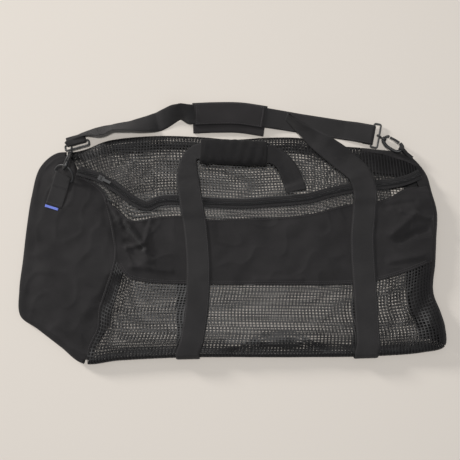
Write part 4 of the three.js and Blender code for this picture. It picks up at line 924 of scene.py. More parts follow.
def cloth_height(p):
    p = np.asarray(p, float)[..., :2]
    creases = crease_depth * ridges(p, band_creases) * calm(p)
    return front_height(p) + creases + wrinkled(p, band_wrinkles)


band_bottom, band_upper = lifted_line(band_low, half_gap), lifted_line(band_top, -half_gap)
band_grid = with_height(coons(band_bottom, band_upper, on_seam(band_low_start, band_top_start),
                              on_edge(corner["band_low_end"], corner["band_top_end"]), 260, 84),
                        cloth_height)
front_band = dress(walled_sheet("front_cloth_band", band_grid, cloth_wall), panel_cloth)
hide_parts("front_band")

# %% End panels
rows = np.linspace(0, 1, 120)
left_shares = corner["bottom_left"] + (corner["top_left"] - corner["bottom_left"]
                                       + (0 if corner["bottom_left"] < corner["top_left"] else 1)) \
    * (0.012 + 0.976 * rows)
seam_points = left_seam.at(rows)
seats = inside(left_shares, fold_inset)
spans = np.linalg.norm(seam_points - seats, axis=1)
# Low down the cloth reaches further under the net. Its own lap is lap_width wide; the 17 mm added low
# down is painted shade, a dark tongue of cloth that stands in for the shaded strip of net beside the
# seam.
lap_and_painted_shade = lap_width + 17 * np.exp(-((rows - 0.27) / 0.2) ** 2)
lap_steps, end_under_reach = 44, 82.0
left_laps = [np.linspace(span + reach, 0, lap_steps, endpoint=False)
             for span, reach in zip(spans, lap_and_painted_shade)]
left_unders = [np.linspace(0, min(end_under_reach, span), 7)[1:] for span in spans]
left_grid = fold_grid(left_shares, 0.0, left_laps, left_unders, towards=seam_points)
left_grid[:, :lap_steps, 2] += (wrinkled(left_grid[:, :lap_steps, :2], end_wrinkles)
                                * np.clip(1 - np.linspace(1, 0, lap_steps) ** 6, 0, 1)[None])
end_left_panel = dress(walled_sheet("end_cloth_left", left_grid, cloth_wall, flip=True), panel_cloth)
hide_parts("end_left_panel")

right_shares = np.linspace(corner["top_right"] + wall_gap, corner["bottom_right"] - 3 * wall_gap, 120)
ts = np.linspace(0, 1, 120)
pouch = 30 * np.exp(-((ts - 0.83) / 0.09) ** 2) + 26 * np.exp(-((ts - 0.1) / 0.13) ** 2)
right_laps = [np.linspace((14 + more) * lap_scale(t, 1, 0.3), 0, 12, endpoint=False)
              for t, more in zip(ts, pouch)]
right_unders = [np.array([5.0, 11.2, 26.0, 41.0])] * 120
right_grid = fold_grid(right_shares, 0.0, right_laps, right_unders)
end_right_panel = dress(walled_sheet("end_cloth_right", right_grid, cloth_wall, flip=True), panel_cloth)
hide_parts("end_right_panel")


def facing_up(thing):
    normals = np.array([p.normal.z * p.area for p in thing.data.polygons if p.center.z > 0.012])
    print(thing.name, "upper faces look up:", round(float(normals.sum() * 1e4), 1), "cm2 net")


for piece in (front_band, end_left_panel, end_right_panel):
    facing_up(piece)

# %% [markdown]
# ## Straps
# Handle and shoulder straps are flat woven webbing. Each one is drawn through many stations with
# a flat oval section, so that its edges catch the light as woven edges do.

# %% Dense straps
def dense(stations, per_span=5):
    places = np.array([s[0] for s in stations])
    sides = np.array([s[1] for s in stations])
    widths = np.array([[s[2]] for s in stations], float)
    w = np.arange(per_span) / per_span

    def through(values):
        out = []
        for i in range(len(values) - 1):
            p0 = values[i - 1] if i else 2 * values[0] - values[1]
            p3 = values[i + 2] if i + 2 < len(values) else 2 * values[-1] - values[-2]
            m1, m2 = (values[i + 1] - p0) / 2, (p3 - values[i]) / 2
            x = w[:, None]
            out.append(values[i] + m1 * x + (-3 * values[i] + 3 * values[i + 1] - 2 * m1 - m2) * x ** 2
                       + (2 * values[i] - 2 * values[i + 1] + m1 + m2) * x ** 3)
        out.append(values[-1:])
        return np.concatenate(out)

    return through(places), through(sides), through(widths)[:, 0]


def ringed(name, rings, uvs, made, closed_ends=True):
    """A closed skin through rings of points, in millimetres."""
    count, ring = rings.shape[:2]
    index = np.arange(count * ring).reshape(count, ring)
    nxt = np.roll(index, -1, axis=1)
    quads = np.stack([index[:-1], index[1:], nxt[1:], nxt[:-1]], -1).reshape(-1, 4)
    faces = [tuple(q) for q in quads]
    if closed_ends:
        faces += [tuple(index[0]), tuple(index[-1][::-1])]
    return dress(new_object(name, to_metres(rings.reshape(-1, 3)), faces, uvs.reshape(-1, 2)), made)


def strap_profile(wall, across):
    s = np.linspace(-1, 1, across + 1)
    top = np.where(np.abs(s) > 0.985, 0.15, 1.0) * wall / 2
    return [(a, b) for a, b in zip(s, top)] + [(a, -b) for a, b in zip(s[::-1], top)]


def strap_mesh(name, stations, wall, made, per_span=5, across=14):
    places, sides, widths = dense(stations, per_span)
    sides = unit(sides)
    ups = unit(np.cross(sides, unit(np.gradient(places, axis=0))))
    run = np.concatenate([[0], np.cumsum(np.linalg.norm(np.diff(places, axis=0), axis=1))])
    profile = strap_profile(wall, across)
    count, ring = len(places), len(profile)
    a = np.array([p[0] for p in profile])[None, :, None]
    b = np.array([p[1] for p in profile])[None, :, None]
    points = (places[:, None] + sides[:, None] * a * widths[:, None, None] / 2 + ups[:, None] * b)
    uv = np.stack([np.broadcast_to(a[..., 0] * widths[:, None] / 2, (count, ring)),
                   np.broadcast_to(run[:, None], (count, ring))], -1) / 1000
    return ringed(name, points, uv, made)


handle_left = strap_mesh("handle_strap_left", left_stations, webbing_wall, strap_web)
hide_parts("handle_webbing_left")
handle_right = strap_mesh("handle_strap_right", right_whole, webbing_wall, strap_web)
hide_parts("handle_webbing_right")

# %% [markdown]
# ## Rings, loops and tabs
# Each strap end goes round the rear bar of its ring. The tabs at the corners are shorter loops
# of the same webbing.

# %% Places of the metal parts
def turned(azimuth, pitch, roll):
    return (Matrix.Rotation(math.radians(azimuth), 3, "Z")
            @ Matrix.Rotation(-math.radians(pitch), 3, "Y")
            @ Matrix.Rotation(math.radians(roll), 3, "X"))


def put(local, origin, turn):
    return np.array(origin) + np.array(turn @ Vector(local))


run_gap, ring_wire, ring_width, ring_depth = 0.35, 1.8, 46.4, 13.0
hook_length, hook_wire, d_wire, d_width, d_depth = 51.0, 3.0, 1.75, 39.4, 26.0
bow_start = 3.5
d_azimuth, d_pitch = 55.0, 44.0
d_origin_xy = flat(0.105, 0.814)
under_tab = lap_gap + webbing_wall + run_gap
d_rest = float(under_front_height(d_origin_xy, strap_reach))
d_origin = raised(d_origin_xy, d_rest + under_tab + run_gap + d_wire)
d_turn = turned(d_azimuth, d_pitch, 0)
bow = (bow_start + (d_depth - bow_start) * math.cos(math.radians(12)),
       d_width / 2 * math.sin(math.radians(12)), 0)
left_hold = put(bow, d_origin, d_turn)
left_ahead = direction(-99, 36)
left_origin = left_hold - left_ahead * (hook_length - hook_wire - d_wire - lap_gap)
right_origin = raised(flat(0.8544, 1.0), 0.21 * loft)
for side_name, origin in (("left", left_origin), ("right", right_origin)):
    print(side_name, "swivel", (to_metres(origin) * 1000).round(2))


def ring_place(origin, azimuth, pitch, shift_along):
    along = direction(azimuth + 90)
    middle = origin + along * shift_along
    rear = put((-ring_depth, 0, 0), middle, turned(azimuth, pitch, 0))
    return dict(rear=rear, along=along, ahead=direction(azimuth), middle=middle,
                turn=turned(azimuth, pitch, 0))


left_ring = ring_place(left_origin, -74, 30, 12)
right_ring = ring_place(right_origin, -11, 0, 0)


def loop_stations(centre, along, ahead, radius, width, tail, tail_height):
    def back(distance, z):
        p = centre - ahead * distance
        return (raised(p, z), along, width)
    stations = [back(tail, tail_height), back(tail / 2, (tail_height + centre[2] - radius) / 2)]
    for k in range(5):
        a = -math.pi / 2 + k * math.pi / 4
        p = centre + ahead * radius * math.cos(a)
        stations.append((raised(p, centre[2] + radius * math.sin(a)), along, width))
    return stations


def ring_loop(ring, leave):
    radius = ring_wire + run_gap + webbing_wall / 2
    stations = loop_stations(ring["rear"], ring["along"], ring["ahead"], radius, shoulder_width, 16,
                             webbing_wall / 2)
    p = ring["rear"] - ring["ahead"] * leave
    return stations + [(raised(p, p[2] + radius + 0.6), ring["along"], shoulder_width)]


# %% [markdown]
# ## Shoulder strap and its pad
# The strap lies on the floor above the bag, stands on its edge where it twists beside the pad,
# and runs through the pad's sleeve.

# %% Shoulder strap
pad_line = Line([flat(u, v) for u, v in [
    (0.408, 1.098), (0.462, 1.102), (0.521, 1.101), (0.584, 1.084)]])
pad_base_width, pad_base_offset, pad_base_height = 60.0, 6.5, 6.0
pad_cover_width, pad_cover_wall, pad_slot = 44.0, 2.2, 2.4
cover_bottom = pad_base_height + lap_gap
cover_roof = cover_bottom + pad_slot
cover_top = cover_roof + pad_cover_wall
in_pad = (cover_bottom + lap_gap / 2 + webbing_wall / 2) / loft


def from_ring(along, above):
    return ((left_ring["rear"][0] + along * shoulder_width) / bag_length,
            (left_ring["rear"][1] + above * shoulder_width) / bag_height)


shoulder_rows = [
    (*from_ring(1, 0.5), 0, 0.1, -50, 50, 1), (*from_ring(1.2, 0.56), 0, on_floor, -45, 45, 1),
    (0.216, 1.035, 0, on_floor, -65, 60, 1), (0.258, 1.044, 0, on_floor, -85, 50, 1),
    (0.303, 1.057, 0, on_floor, -82, 22, 1), (0.335, 1.074, 0, on_floor, -78, -12, 1),
    (0.375, 1.105, 0, on_floor, -78, -48, 1), (0.397, 1.098, 0, in_pad, -86, -14, 1),
    (0.412, 1.099, 0, in_pad, -88, 0, 1), (0.462, 1.102, 0, in_pad, -90, 0, 1),
    (0.521, 1.101, 0, in_pad, -94, 0, 1), (0.584, 1.084, 0, in_pad, -100, 0, 1),
    (0.625, 1.073, 0, 0.12, -100, 0, 1), (0.665, 1.061, 0, on_floor, -99, 0, 1),
    (0.767, 1.031, 0, on_floor, -100, 0, 1), (0.8, 1.021, 0, 0.2, -101, 0, 1),
]
shoulder_stations = (ring_loop(left_ring, 8) + strap_stations(shoulder_rows, shoulder_width, 3)
                     + [(p, -side, width) for p, side, width in ring_loop(right_ring, 5)][::-1])
shoulder_strap = strap_mesh("shoulder_web", shoulder_stations, webbing_wall, strap_web)
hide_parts("shoulder_strap")


# %% Shoulder pad
def pad_side(t):
    return left_of(pad_line.tangent(t))


def pad_point(t, across):
    return pad_line.at(t) + pad_side(t) * np.asarray(across, float)[..., None]


def pad_slab(name, t0, t1, half, offset, low, high, made, soft=0.28, dents=0.0, ends=7):
    """A soft slab along the pad's line, rounded at its edges and ends, with a shallow quilt."""
    ts = np.concatenate([t0 + (t1 - t0) * 0.028 * (1 - np.cos(np.linspace(0, math.pi / 2, ends))),
                         np.linspace(t0 + (t1 - t0) * 0.045, t1 - (t1 - t0) * 0.045, 44),
                         t1 - (t1 - t0) * 0.028 * (1 - np.cos(np.linspace(math.pi / 2, 0, ends)))])
    angles = np.linspace(0, 2 * math.pi, 56, endpoint=False)
    ca, sa = np.cos(angles), np.sin(angles)
    ax = np.sign(ca) * np.abs(ca) ** 0.5
    az = np.sign(sa) * np.abs(sa) ** soft
    rings, uvs = [], []
    for i, t in enumerate(ts):
        end = min(i, len(ts) - 1 - i)
        tight = math.sin(math.pi / 2 * min(1, (end + 0.6) / ends)) ** 0.6
        narrow = 1 - 0.04 * (1 - tight)
        across = ax * half * narrow - offset
        p = pad_point(np.full(len(angles), t), across)
        z = (low + high) / 2 + az * (high - low) / 2 * (0.45 + 0.55 * tight)
        z = z + np.where(sa > 0, dents * smoothed_noise(p, 30, 11) * (1 - np.abs(ax) ** 4), 0)
        rings.append(np.concatenate([p, z[:, None]], 1))
        uvs.append(np.stack([angles / (2 * math.pi) * 2.2 * half / 1000,
                             np.full(len(angles), t * pad_line.length / 1000)], -1))
    rings = np.array(rings)
    rings[..., 2] = np.maximum(rings[..., 2], low)
    return ringed(name, rings, np.array(uvs), made)


pad_base = pad_slab("shoulder_pad_cushion", -0.005, 1.005, pad_base_width / 2, pad_base_offset, 0.05,
                    pad_base_height, pad_cloth, dents=0.25)
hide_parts("shoulder_pad_base")


def cover_skin():
    ts = np.linspace(0.03, 0.97, 70)
    half_out, half_in = pad_cover_width / 2, shoulder_width / 2 + 2 * lap_gap
    outer = [(-1, cover_bottom), (-0.995, (cover_bottom + cover_top) / 2), (-0.93, cover_top - 0.7),
             (-0.82, cover_top - 0.25)]
    outer += [(a, cover_top) for a in np.linspace(-0.7, 0.7, 13)]
    outer += [(-a, z) for a, z in outer[3::-1]]
    inner = [(1, cover_bottom), (1, cover_roof - 0.3), (0.97, cover_roof), (0, cover_roof),
             (-0.97, cover_roof), (-1, cover_roof - 0.3), (-1, cover_bottom)]
    rings, uvs = [], []
    for t in ts:
        full = np.array([(a * half_out, z) for a, z in outer] + [(a * half_in, z) for a, z in inner])
        p = pad_point(np.full(len(full), t), full[:, 0])
        z = full[:, 1].copy()
        top = np.arange(len(full)) < len(outer)
        quilt = 0.35 * smoothed_noise(p, 26, 4) - 0.5 * np.exp(-((t - 0.06) / 0.012) ** 2) \
            - 0.5 * np.exp(-((t - 0.94) / 0.012) ** 2)
        z[top] += (quilt * (z > cover_roof + 0.5))[top]
        rings.append(np.concatenate([p, z[:, None]], 1))
        uvs.append(np.stack([full[:, 0] / 1000, np.full(len(full), t * pad_line.length / 1000)], -1))
    return ringed("shoulder_pad_sleeve", np.array(rings), np.array(uvs), pad_cloth)


pad_cover = cover_skin()
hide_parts("shoulder_pad_cover")

# %% [markdown]
# ## Handle wrap
# The two handles are held together by a soft padded sleeve that is slit along its length and
# closed with a touch strip. It is puffed at its middle and pinched where the straps leave.

# %% Handle wrap
wrap_length, wrap_width, wrap_height, wrap_wall = 125.0, 48.0, 25.0, 4.5
wrap_from, wrap_to = flat(0.429, 0.919), flat(0.584, 0.908)
wrap_axis = unit(wrap_to - wrap_from)
wrap_across = np.array([-wrap_axis[1], wrap_axis[0]])
wrap_middle = (wrap_from + wrap_to) / 2
wrap_rest = max(float(rest_height(wrap_middle + wrap_axis * k * wrap_length, wrap_width / 3))
                for k in (-0.4, -0.2, 0, 0.2, 0.4))
wrap_z = wrap_rest + lap_gap + wrap_height / 2


def wrap_rings():
    angles = np.linspace(0, 2 * math.pi, 72, endpoint=False)
    ca, sa = np.cos(angles), np.sin(angles)
    ax, az = np.sign(ca) * np.abs(ca) ** 0.75, np.sign(sa) * np.abs(sa) ** 0.75
    rings, uvs = [], []

    def ring(along, scale_w, scale_h, wrinkle):
        crumple = wrinkle * (0.5 * np.sin(3 * angles + along * 16) * np.cos(along * 21)
                             + 0.35 * np.sin(5 * angles - along * 30)
                             + 0.3 * np.sin(along * 44 + 2 * angles))
        slit = -1.5 * wrinkle * np.exp(-((angles - 5.35) / 0.07) ** 2)
        w = wrap_width / 2 * scale_w + crumple + slit
        h = wrap_height / 2 * scale_h + crumple + slit
        centre = wrap_middle + wrap_axis * along * wrap_length
        p = centre + wrap_across * (w * ax)[:, None]
        rings.append(np.concatenate([p, (wrap_z + h * az)[:, None]], 1))
        uvs.append(np.stack([angles * wrap_width / 4000,
                             np.full(len(angles), along * wrap_length / 1000)], -1))

    def mouth(side, steps):
        """The cloth turned in at one end."""
        for k in steps:
            t = k / 8
            turn = math.sin(math.pi / 2 * t)
            ring(side * (0.5 - 0.03 * (1 - turn) + 0.005 * t), 0.72 + 0.24 * turn,
                 0.5 + 0.42 * turn, 0.3 * t)

    mouth(-1, range(9))
    for along in np.linspace(-0.485, 0.485, 70):
        end = min(0.5 - abs(along), 0.06) / 0.06
        pinch = 0.012 * math.exp(-((abs(along) - 0.45) / 0.008) ** 2)
        ring(along, 0.96 + 0.04 * end - pinch, 0.92 + 0.08 * end - 2 * pinch, 0.9 * end)
    mouth(1, range(8, -1, -1))
    return np.array(rings), np.array(uvs)


outer_rings, outer_uv = wrap_rings()
bore = outer_rings[::-1].copy()
along_part = (bore[..., :2] - wrap_middle) @ wrap_axis
axis_points = wrap_middle + along_part[..., None] * wrap_axis
bore[..., :2] = axis_points + (bore[..., :2] - axis_points) * (1 - 2 * wrap_wall / wrap_width * 1.1)
bore[..., 2] = wrap_z + (bore[..., 2] - wrap_z) * (1 - 2 * wrap_wall / wrap_height * 1.05)
both_rings = np.concatenate([outer_rings, bore, outer_rings[:1]])
both_uv = np.concatenate([outer_uv, outer_uv[::-1], outer_uv[:1]])
handle_wrap = ringed("handle_sleeve", both_rings[:-1], both_uv[:-1], wrap_cloth, closed_ends=False)


def join_mouth(thing, rings, count):
    """Close the ring of faces between the last and the first ring."""
    mesh = thing.data
    ring = rings.shape[1]
    last = (count - 1) * ring
    points = [tuple(v.co) for v in mesh.vertices]
    faces = [tuple(p.vertices) for p in mesh.polygons]
    faces += [(last + k, k, (k + 1) % ring, last + (k + 1) % ring) for k in range(ring)]
    corners = {}
    layer = mesh.uv_layers["cloth"].data
    for loop in mesh.loops:
        corners[loop.vertex_index] = tuple(layer[loop.index].uv)
    uv = np.array([corners[i] for i in range(len(points))])
    new = bpy.data.meshes.new(mesh.name)
    new.from_pydata(points, [], faces)
    new.polygons.foreach_set("use_smooth", [True] * len(new.polygons))
    fresh = new.uv_layers.new(name="cloth")
    order = np.zeros(len(new.loops), int)
    new.loops.foreach_get("vertex_index", order)
    fresh.data.foreach_set("uv", uv[order].ravel())
    new.materials.append(mesh.materials[0])
    thing.data = new


join_mouth(handle_wrap, both_rings, len(both_rings) - 1)
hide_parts("handle_wrap")

# %% [markdown]
# ## Metal
# Rings, swivels and hooks are cast or bent from round wire with a black coat. Each is a smooth
# tube along the same line as its solid. The gates ride on their own bodies, because they swing.

# %% Tubes of metal
def tube_skin(path, normal, radius, joined, sides=16):
    path = np.asarray(path, float)
    if joined:
        tangents = np.roll(path, -1, axis=0) - np.roll(path, 1, axis=0)
    else:
        tangents = np.gradient(path, axis=0)
    normal = np.asarray(normal, float)
    side = unit(np.cross(unit(tangents), normal))
    angles = (np.arange(sides) + 0.5) * 2 * math.pi / sides
    radii = np.full(len(path), float(radius))
    if not joined:  # round the ends
        for k, share in enumerate((0.55, 0.85, 0.97)):
            radii[k], radii[-1 - k] = radius * share, radius * share
    points = (path[:, None] + side[:, None] * (np.cos(angles) * radii[:, None])[..., None]
              + normal * (np.sin(angles) * radii[:, None])[..., None])
    index = np.arange(len(path) * sides).reshape(len(path), sides)
    nxt = np.roll(index, -1, axis=1)
    if joined:
        following, following_next = np.roll(index, -1, axis=0), np.roll(nxt, -1, axis=0)
        quads = np.stack([index, nxt, following_next, following], -1).reshape(-1, 4)
        return points.reshape(-1, 3), [tuple(q) for q in quads]
    quads = np.stack([index[:-1], nxt[:-1], nxt[1:], index[1:]], -1).reshape(-1, 4)
    ends = [tuple(index[0][::-1]), tuple(index[-1])]
    return points.reshape(-1, 3), [tuple(q) for q in quads] + ends


def with_ends(path, radius):
    """The same path with close steps at both ends, where the tube is rounded."""
    first, last = unit(path[1] - path[0]), unit(path[-2] - path[-1])
    head = [path[0] + first * radius * k for k in (0, 0.12, 0.4, 0.9)]
    tail = [path[-1] + last * radius * k for k in (0.9, 0.4, 0.12, 0)]
    keep = [p for p in path
            if min(np.linalg.norm(p - path[0]), np.linalg.norm(p - path[-1])) > radius]
    return np.array(head + keep + tail)


def metal_piece(name, skins, origin, turn, look, body):
    matrix = np.array(turn)
    points, faces = [], []
    for skin_points, skin_faces in skins:
        start = len(points)
        points += list(skin_points @ matrix.T + np.array(origin))
        faces += [tuple(i + start for i in face) for face in skin_faces]
    thing = dress(new_object(name, to_metres(np.array(points)), faces), look)
    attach(thing, body)
    return thing


def straight_rod(x0, x1, radius):
    path = np.array([(x, 0, 0) for x in np.linspace(x0, x1, 12)])
    return tube_skin(with_ends(path, radius * 0.4), (0, 0, 1), radius, False)


def rounded_loop(depth, width, radius, steps=8):
    y, far = width / 2 - radius, radius - depth
    path = []
    for x0, y0, start in ((-radius, y, 0), (far, y, 90), (far, -y, 180), (-radius, -y, 270)):
        for turn in np.linspace(0, 90, steps):
            a = math.radians(start + turn)
            path.append((x0 + radius * math.cos(a), y0 + radius * math.sin(a), 0))
    return np.array(path)


eye_radius = ring_wire + 1 + 1.4
eye_path = [(eye_radius * math.cos(a), 0, eye_radius * math.sin(a))
            for a in np.linspace(0, 2 * math.pi, 28)[:-1]]
collar_start, collar_length, collar_radius = 7.2, 6.0, 4.6
head_start = collar_start + collar_length + run_gap
gate_hinge, gate_side, nose_back, gate_wire = 21.0, 9.0, 9.5, 2.1
hook_half = gate_side + 1
collar_middle = collar_start + collar_length / 2
hook_line = smooth_through([
    (collar_middle, -collar_radius * 0.7, 0), (gate_hinge, -hook_half * 0.86, 0),
    (gate_hinge + (hook_length - gate_hinge) * 0.35, -hook_half, 0),
    (hook_length - 8, -hook_half * 0.92, 0), (hook_length - 1.6, -hook_half * 0.52, 0),
    (hook_length, 0, 0), (hook_length - 1.8, hook_half * 0.52, 0),
    (hook_length - nose_back, gate_side, 0)], 9)
arm_line = smooth_through([
    (collar_middle, collar_radius * 0.7, 0), (gate_hinge - 6.4, gate_side, 0),
    (gate_hinge - gate_wire - run_gap - 1.2, gate_side, 0)], 8)
gate_end = hook_length - nose_back - hook_wire * 0.2 - 3 * run_gap
gate_line = smooth_through([
    (gate_hinge - gate_wire, gate_side, 0), ((gate_hinge + gate_end) / 2, gate_side + 0.5, 0),
    (gate_end, gate_side, 0)], 10)
in_plane = (0, 0, 1)  # the way that the flat loops of wire face
for side_name, ring, origin, angles in (("left", left_ring, left_origin, (-99, 36, 62)),
                                        ("right", right_ring, right_origin, (-34, 13, 0))):
    hook_turn, swivel_turn = turned(*angles), turned(angles[0], angles[1], 0)
    ring_path = rounded_loop(ring_depth, ring_width, 3.2)
    strap_ring = metal_piece(
        f"{side_name}_ring_wire", [tube_skin(ring_path, in_plane, ring_wire, True)],
        ring["middle"], ring["turn"], ring_coat, "bag")
    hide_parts(f"{side_name}_strap_ring")
    swivel = metal_piece(
        f"{side_name}_swivel_eye",
        [tube_skin(eye_path, (0, 1, 0), 1.4, True), straight_rod(eye_radius, head_start + 1, 1.6),
         straight_rod(head_start, head_start + 2, 2.9)], origin, swivel_turn, ring_coat, "bag")
    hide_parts(f"{side_name}_swivel")
    hook = metal_piece(
        f"{side_name}_snap_hook",
        [straight_rod(collar_start, collar_start + collar_length, collar_radius),
         tube_skin(with_ends(hook_line, hook_wire * 0.6), in_plane, hook_wire, False),
         tube_skin(with_ends(arm_line, hook_wire * 0.4), in_plane, hook_wire - 0.6, False)],
        origin, hook_turn, hook_coat, "bag")
    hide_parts(f"{side_name}_hook")
    gate_skin = tube_skin(with_ends(gate_line, gate_wire * 0.5), in_plane, gate_wire, False)
    gate = metal_piece(f"{side_name}_snap_gate", [gate_skin], origin, hook_turn, hook_coat,
                       f"{side_name}_gate")
    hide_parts(f"{side_name}_hook_gate")
    print(side_name, "hook", [round(v * 1000, 1) for v in hook.dimensions])

bar_end = d_width / 2
d_path = [(bow_start + (d_depth - bow_start) * math.cos(math.radians(a)),
           bar_end * math.sin(math.radians(a)), 0) for a in np.linspace(-90, 90, 25)]
d_path += [(1.9, bar_end - 0.15, 0), (0.6, bar_end - 1.0, 0), (0, bar_end - 2.6, 0)]
d_path += [(0, y, 0) for y in np.linspace(bar_end - 6, 6 - bar_end, 8)]
d_path += [(0, 2.6 - bar_end, 0), (0.6, 1.0 - bar_end, 0), (1.9, 0.15 - bar_end, 0)]
d_ring = metal_piece("corner_d_ring", [tube_skin(d_path, in_plane, d_wire, True)], d_origin, d_turn,
                     ring_coat, "bag")
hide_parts("left_d_ring")

# %% Tabs at the corners
tab_width, tab_length, tab_tail = 32.6, 60.0, 17.0
tab_loop = d_wire + 2 * run_gap + webbing_wall / 2
tab_ahead, tab_side = direction(d_azimuth + 18), direction(d_azimuth - 90)


def tab_rest(distance):
    p = d_origin - tab_ahead * distance
    return p, float(under_front_height(p[:2], strap_reach)) + lap_gap + webbing_wall / 2


tab_stations = loop_stations(d_origin, tab_side, direction(d_azimuth), tab_loop, tab_width, tab_tail,
                             tab_rest(tab_tail)[1])
for at, above in [(6, 4.4), (13, 2.9), (tab_tail + 3, 2.3), (tab_tail + 8, 0.4),
                  (0.7 * tab_length, 0), (tab_length, 0)]:
    p, level = tab_rest(at)
    side = direction(d_azimuth - 90 + 18 * min(1, at / tab_tail))
    tab_stations.append((raised(p, level + above), side, tab_width))
left_tab = strap_mesh("corner_tab_left", tab_stations, webbing_wall, strap_web)
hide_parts("left_tab")

tag_length, tag_width, tag_wall = 26.0, 5.0, 1.0
tag_side = direction(d_azimuth - 90 + 18)
tag_middle = (d_origin - tab_ahead * (tab_length + tag_width / 2 + lap_gap)
              - tag_side * (tab_width - tag_length) / 2)
tag_rest = float(under_front_height(tag_middle[:2], strap_reach))
tag_middle = raised(tag_middle, tag_rest + lap_gap + tag_wall / 2)
tag_stations = [(tag_middle + tag_side * k * tag_length, tab_ahead, tag_width)
                for k in (-0.5, -0.17, 0.17, 0.5)]
left_tag = strap_mesh("corner_tag_left", tag_stations, tag_wall, blue_tag)
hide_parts("left_tab_tag")

right_turn = turned(-34, 13, 0)
right_tip = put((hook_length, 0, 0), right_origin, right_turn)
right_loop = hook_wire + 6 * run_gap + webbing_wall / 2
right_ahead, right_side = direction(-38), direction(-128)
right_tab_width, right_tab_length = 6.4, 26.0


def right_tail(distance, above):
    p = right_tip + right_ahead * distance
    level = float(under_front_height(p[:2], right_tab_width)) + lap_gap + webbing_wall / 2
    return (raised(p, level + above), right_side, right_tab_width)


two_runs = webbing_wall + lap_gap
right_tab_stations = [right_tail(share * right_tab_length, above)
                      for share, above in ((1, two_runs), (0.7, two_runs), (0.45, two_runs + 1))]
for angle in (70, 110, 150, 190, 230, 270):
    a = math.radians(angle)
    p = right_tip + right_ahead * right_loop * math.cos(a)
    right_tab_stations.append((raised(p, right_tip[2] + right_loop * math.sin(a)), right_side,
                               right_tab_width))
right_tab_stations += [right_tail(0.4 * right_tab_length, 0.4), right_tail(0.7 * right_tab_length, 0)]
right_tab = strap_mesh("corner_tab_right", right_tab_stations, webbing_wall, strap_web)
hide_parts("right_tab")

# %% [markdown]
# ## Zipper
# A long coil zipper runs from the left corner to the right one. Its tape is sewn over the net's
# edges. The coil is one thread wound in loops, drawn here as two rows of small rounded pieces.

# %% Rows of teeth and stitches
def row_tree():
    tree = bpy.data.node_groups.new("row of small pieces", "GeometryNodeTree")
    face = tree.interface
    face.new_socket("Geometry", in_out="INPUT", socket_type="NodeSocketGeometry")
    names = {"Pitch": "NodeSocketFloat", "Size": "NodeSocketVector", "Look": "NodeSocketMaterial"}
    made = {key: face.new_socket(key, in_out="INPUT", socket_type=kind) for key, kind in names.items()}
    face.new_socket("Geometry", in_out="OUTPUT", socket_type="NodeSocketGeometry")
    nodes = tree.nodes
    start, end = nodes.new("NodeGroupInput"), nodes.new("NodeGroupOutput")
    line = nodes.new("GeometryNodeMeshToCurve")
    spread = nodes.new("GeometryNodeResampleCurve")
    spread.mode = "LENGTH"
    ball = nodes.new("GeometryNodeMeshUVSphere")
    ball.inputs["Segments"].default_value = 8
    ball.inputs["Rings"].default_value = 5
    ball.inputs["Radius"].default_value = 0.5
    along = nodes.new("GeometryNodeInputTangent")
    align = nodes.new("FunctionNodeAlignRotationToVector")
    align.axis = "X"
    set_down = nodes.new("GeometryNodeInstanceOnPoints")
    real = nodes.new("GeometryNodeRealizeInstances")
    smooth = nodes.new("GeometryNodeSetShadeSmooth")
    paint = nodes.new("GeometryNodeSetMaterial")
    link_all(tree, [
        (start, "Geometry", line, "Mesh"), (line, "Curve", spread, "Curve"),
        (start, "Pitch", spread, "Length"), (spread, "Curve", set_down, "Points"),
        (ball, "Mesh", set_down, "Instance"), (along, "Tangent", align, "Vector"),
        (align, "Rotation", set_down, "Rotation"), (start, "Size", set_down, "Scale"),
        (set_down, "Instances", real, "Geometry"), (real, "Geometry", smooth, "Geometry"),
        (smooth, "Geometry", paint, "Geometry"), (start, "Look", paint, "Material"),
        (paint, "Geometry", end, "Geometry"),
    ])
    return tree, {key: socket.identifier for key, socket in made.items()}


row_group, row_inputs = row_tree()


def row_of(name, lines, pitch, size, look):
    """Small rounded pieces every pitch along lines of points, in millimetres."""
    points, edges = [], []
    for line in lines:
        start = len(points)
        points += [tuple(p) for p in to_metres(line)]
        edges += [(start + i, start + i + 1) for i in range(len(line) - 1)]
    mesh = bpy.data.meshes.new(name)
    mesh.from_pydata(points, edges, [])
    guide = bpy.data.objects.new(name + "_guide", mesh)
    scene.collection.objects.link(guide)
    modifier = guide.modifiers.new("row", "NODES")
    modifier.node_group = row_group
    modifier[row_inputs["Pitch"]] = pitch / 1000
    modifier[row_inputs["Size"]] = [v / 1000 for v in size]
    modifier[row_inputs["Look"]] = look
    ready = guide.evaluated_get(bpy.context.evaluated_depsgraph_get())
    made = bpy.data.meshes.new_from_object(ready)
    bpy.data.objects.remove(guide)
    piece = bpy.data.objects.new(name, made)
    if not made.materials:
        made.materials.append(look)
    scene.collection.objects.link(piece)
    print(name, len(made.polygons), "faces")
    return piece


# %% Tape and coil
shares = np.linspace(0, 1, 230)
zip_line = zipper.at(shares)
zip_side = left_of(zipper.tangent(shares))
zip_height = cover_height(zip_line)


def zip_stations(width, level):
    return [(raised(p, h + level), np.array([s[0], s[1], 0]), width)
            for p, s, h in zip(zip_line, zip_side, zip_height)]


zipper_tape = strap_mesh("zip_tape", zip_stations(tape_width, tape_level), tape_wall, zip_tape, 1, 16)
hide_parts("zipper_tape")
coil_line = np.concatenate([zip_line, (zip_height + coil_level)[:, None]], 1)
side_3d = np.concatenate([zip_side, np.zeros((len(zip_side), 1))], 1)
tooth_rows = [coil_line + side_3d * side * 1.15 - [0, 0, 0.2] for side in (1, -1)]
zipper_coil = row_of("zip_coil", tooth_rows, 1.7, (1.15, 2.5, 1.8), zip_plastic)
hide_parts("zipper_coil")
tape_drop = [0, 0, coil_level - tape_level - tape_wall / 2 - 0.05]
tape_lines = [coil_line + side_3d * offset - tape_drop for offset in (-8.0, -5.6, 5.6, 8.0)]
tape_stitches = row_of("tape_stitches", tape_lines, 3.4, (2.3, 0.55, 0.4), stitch_thread)

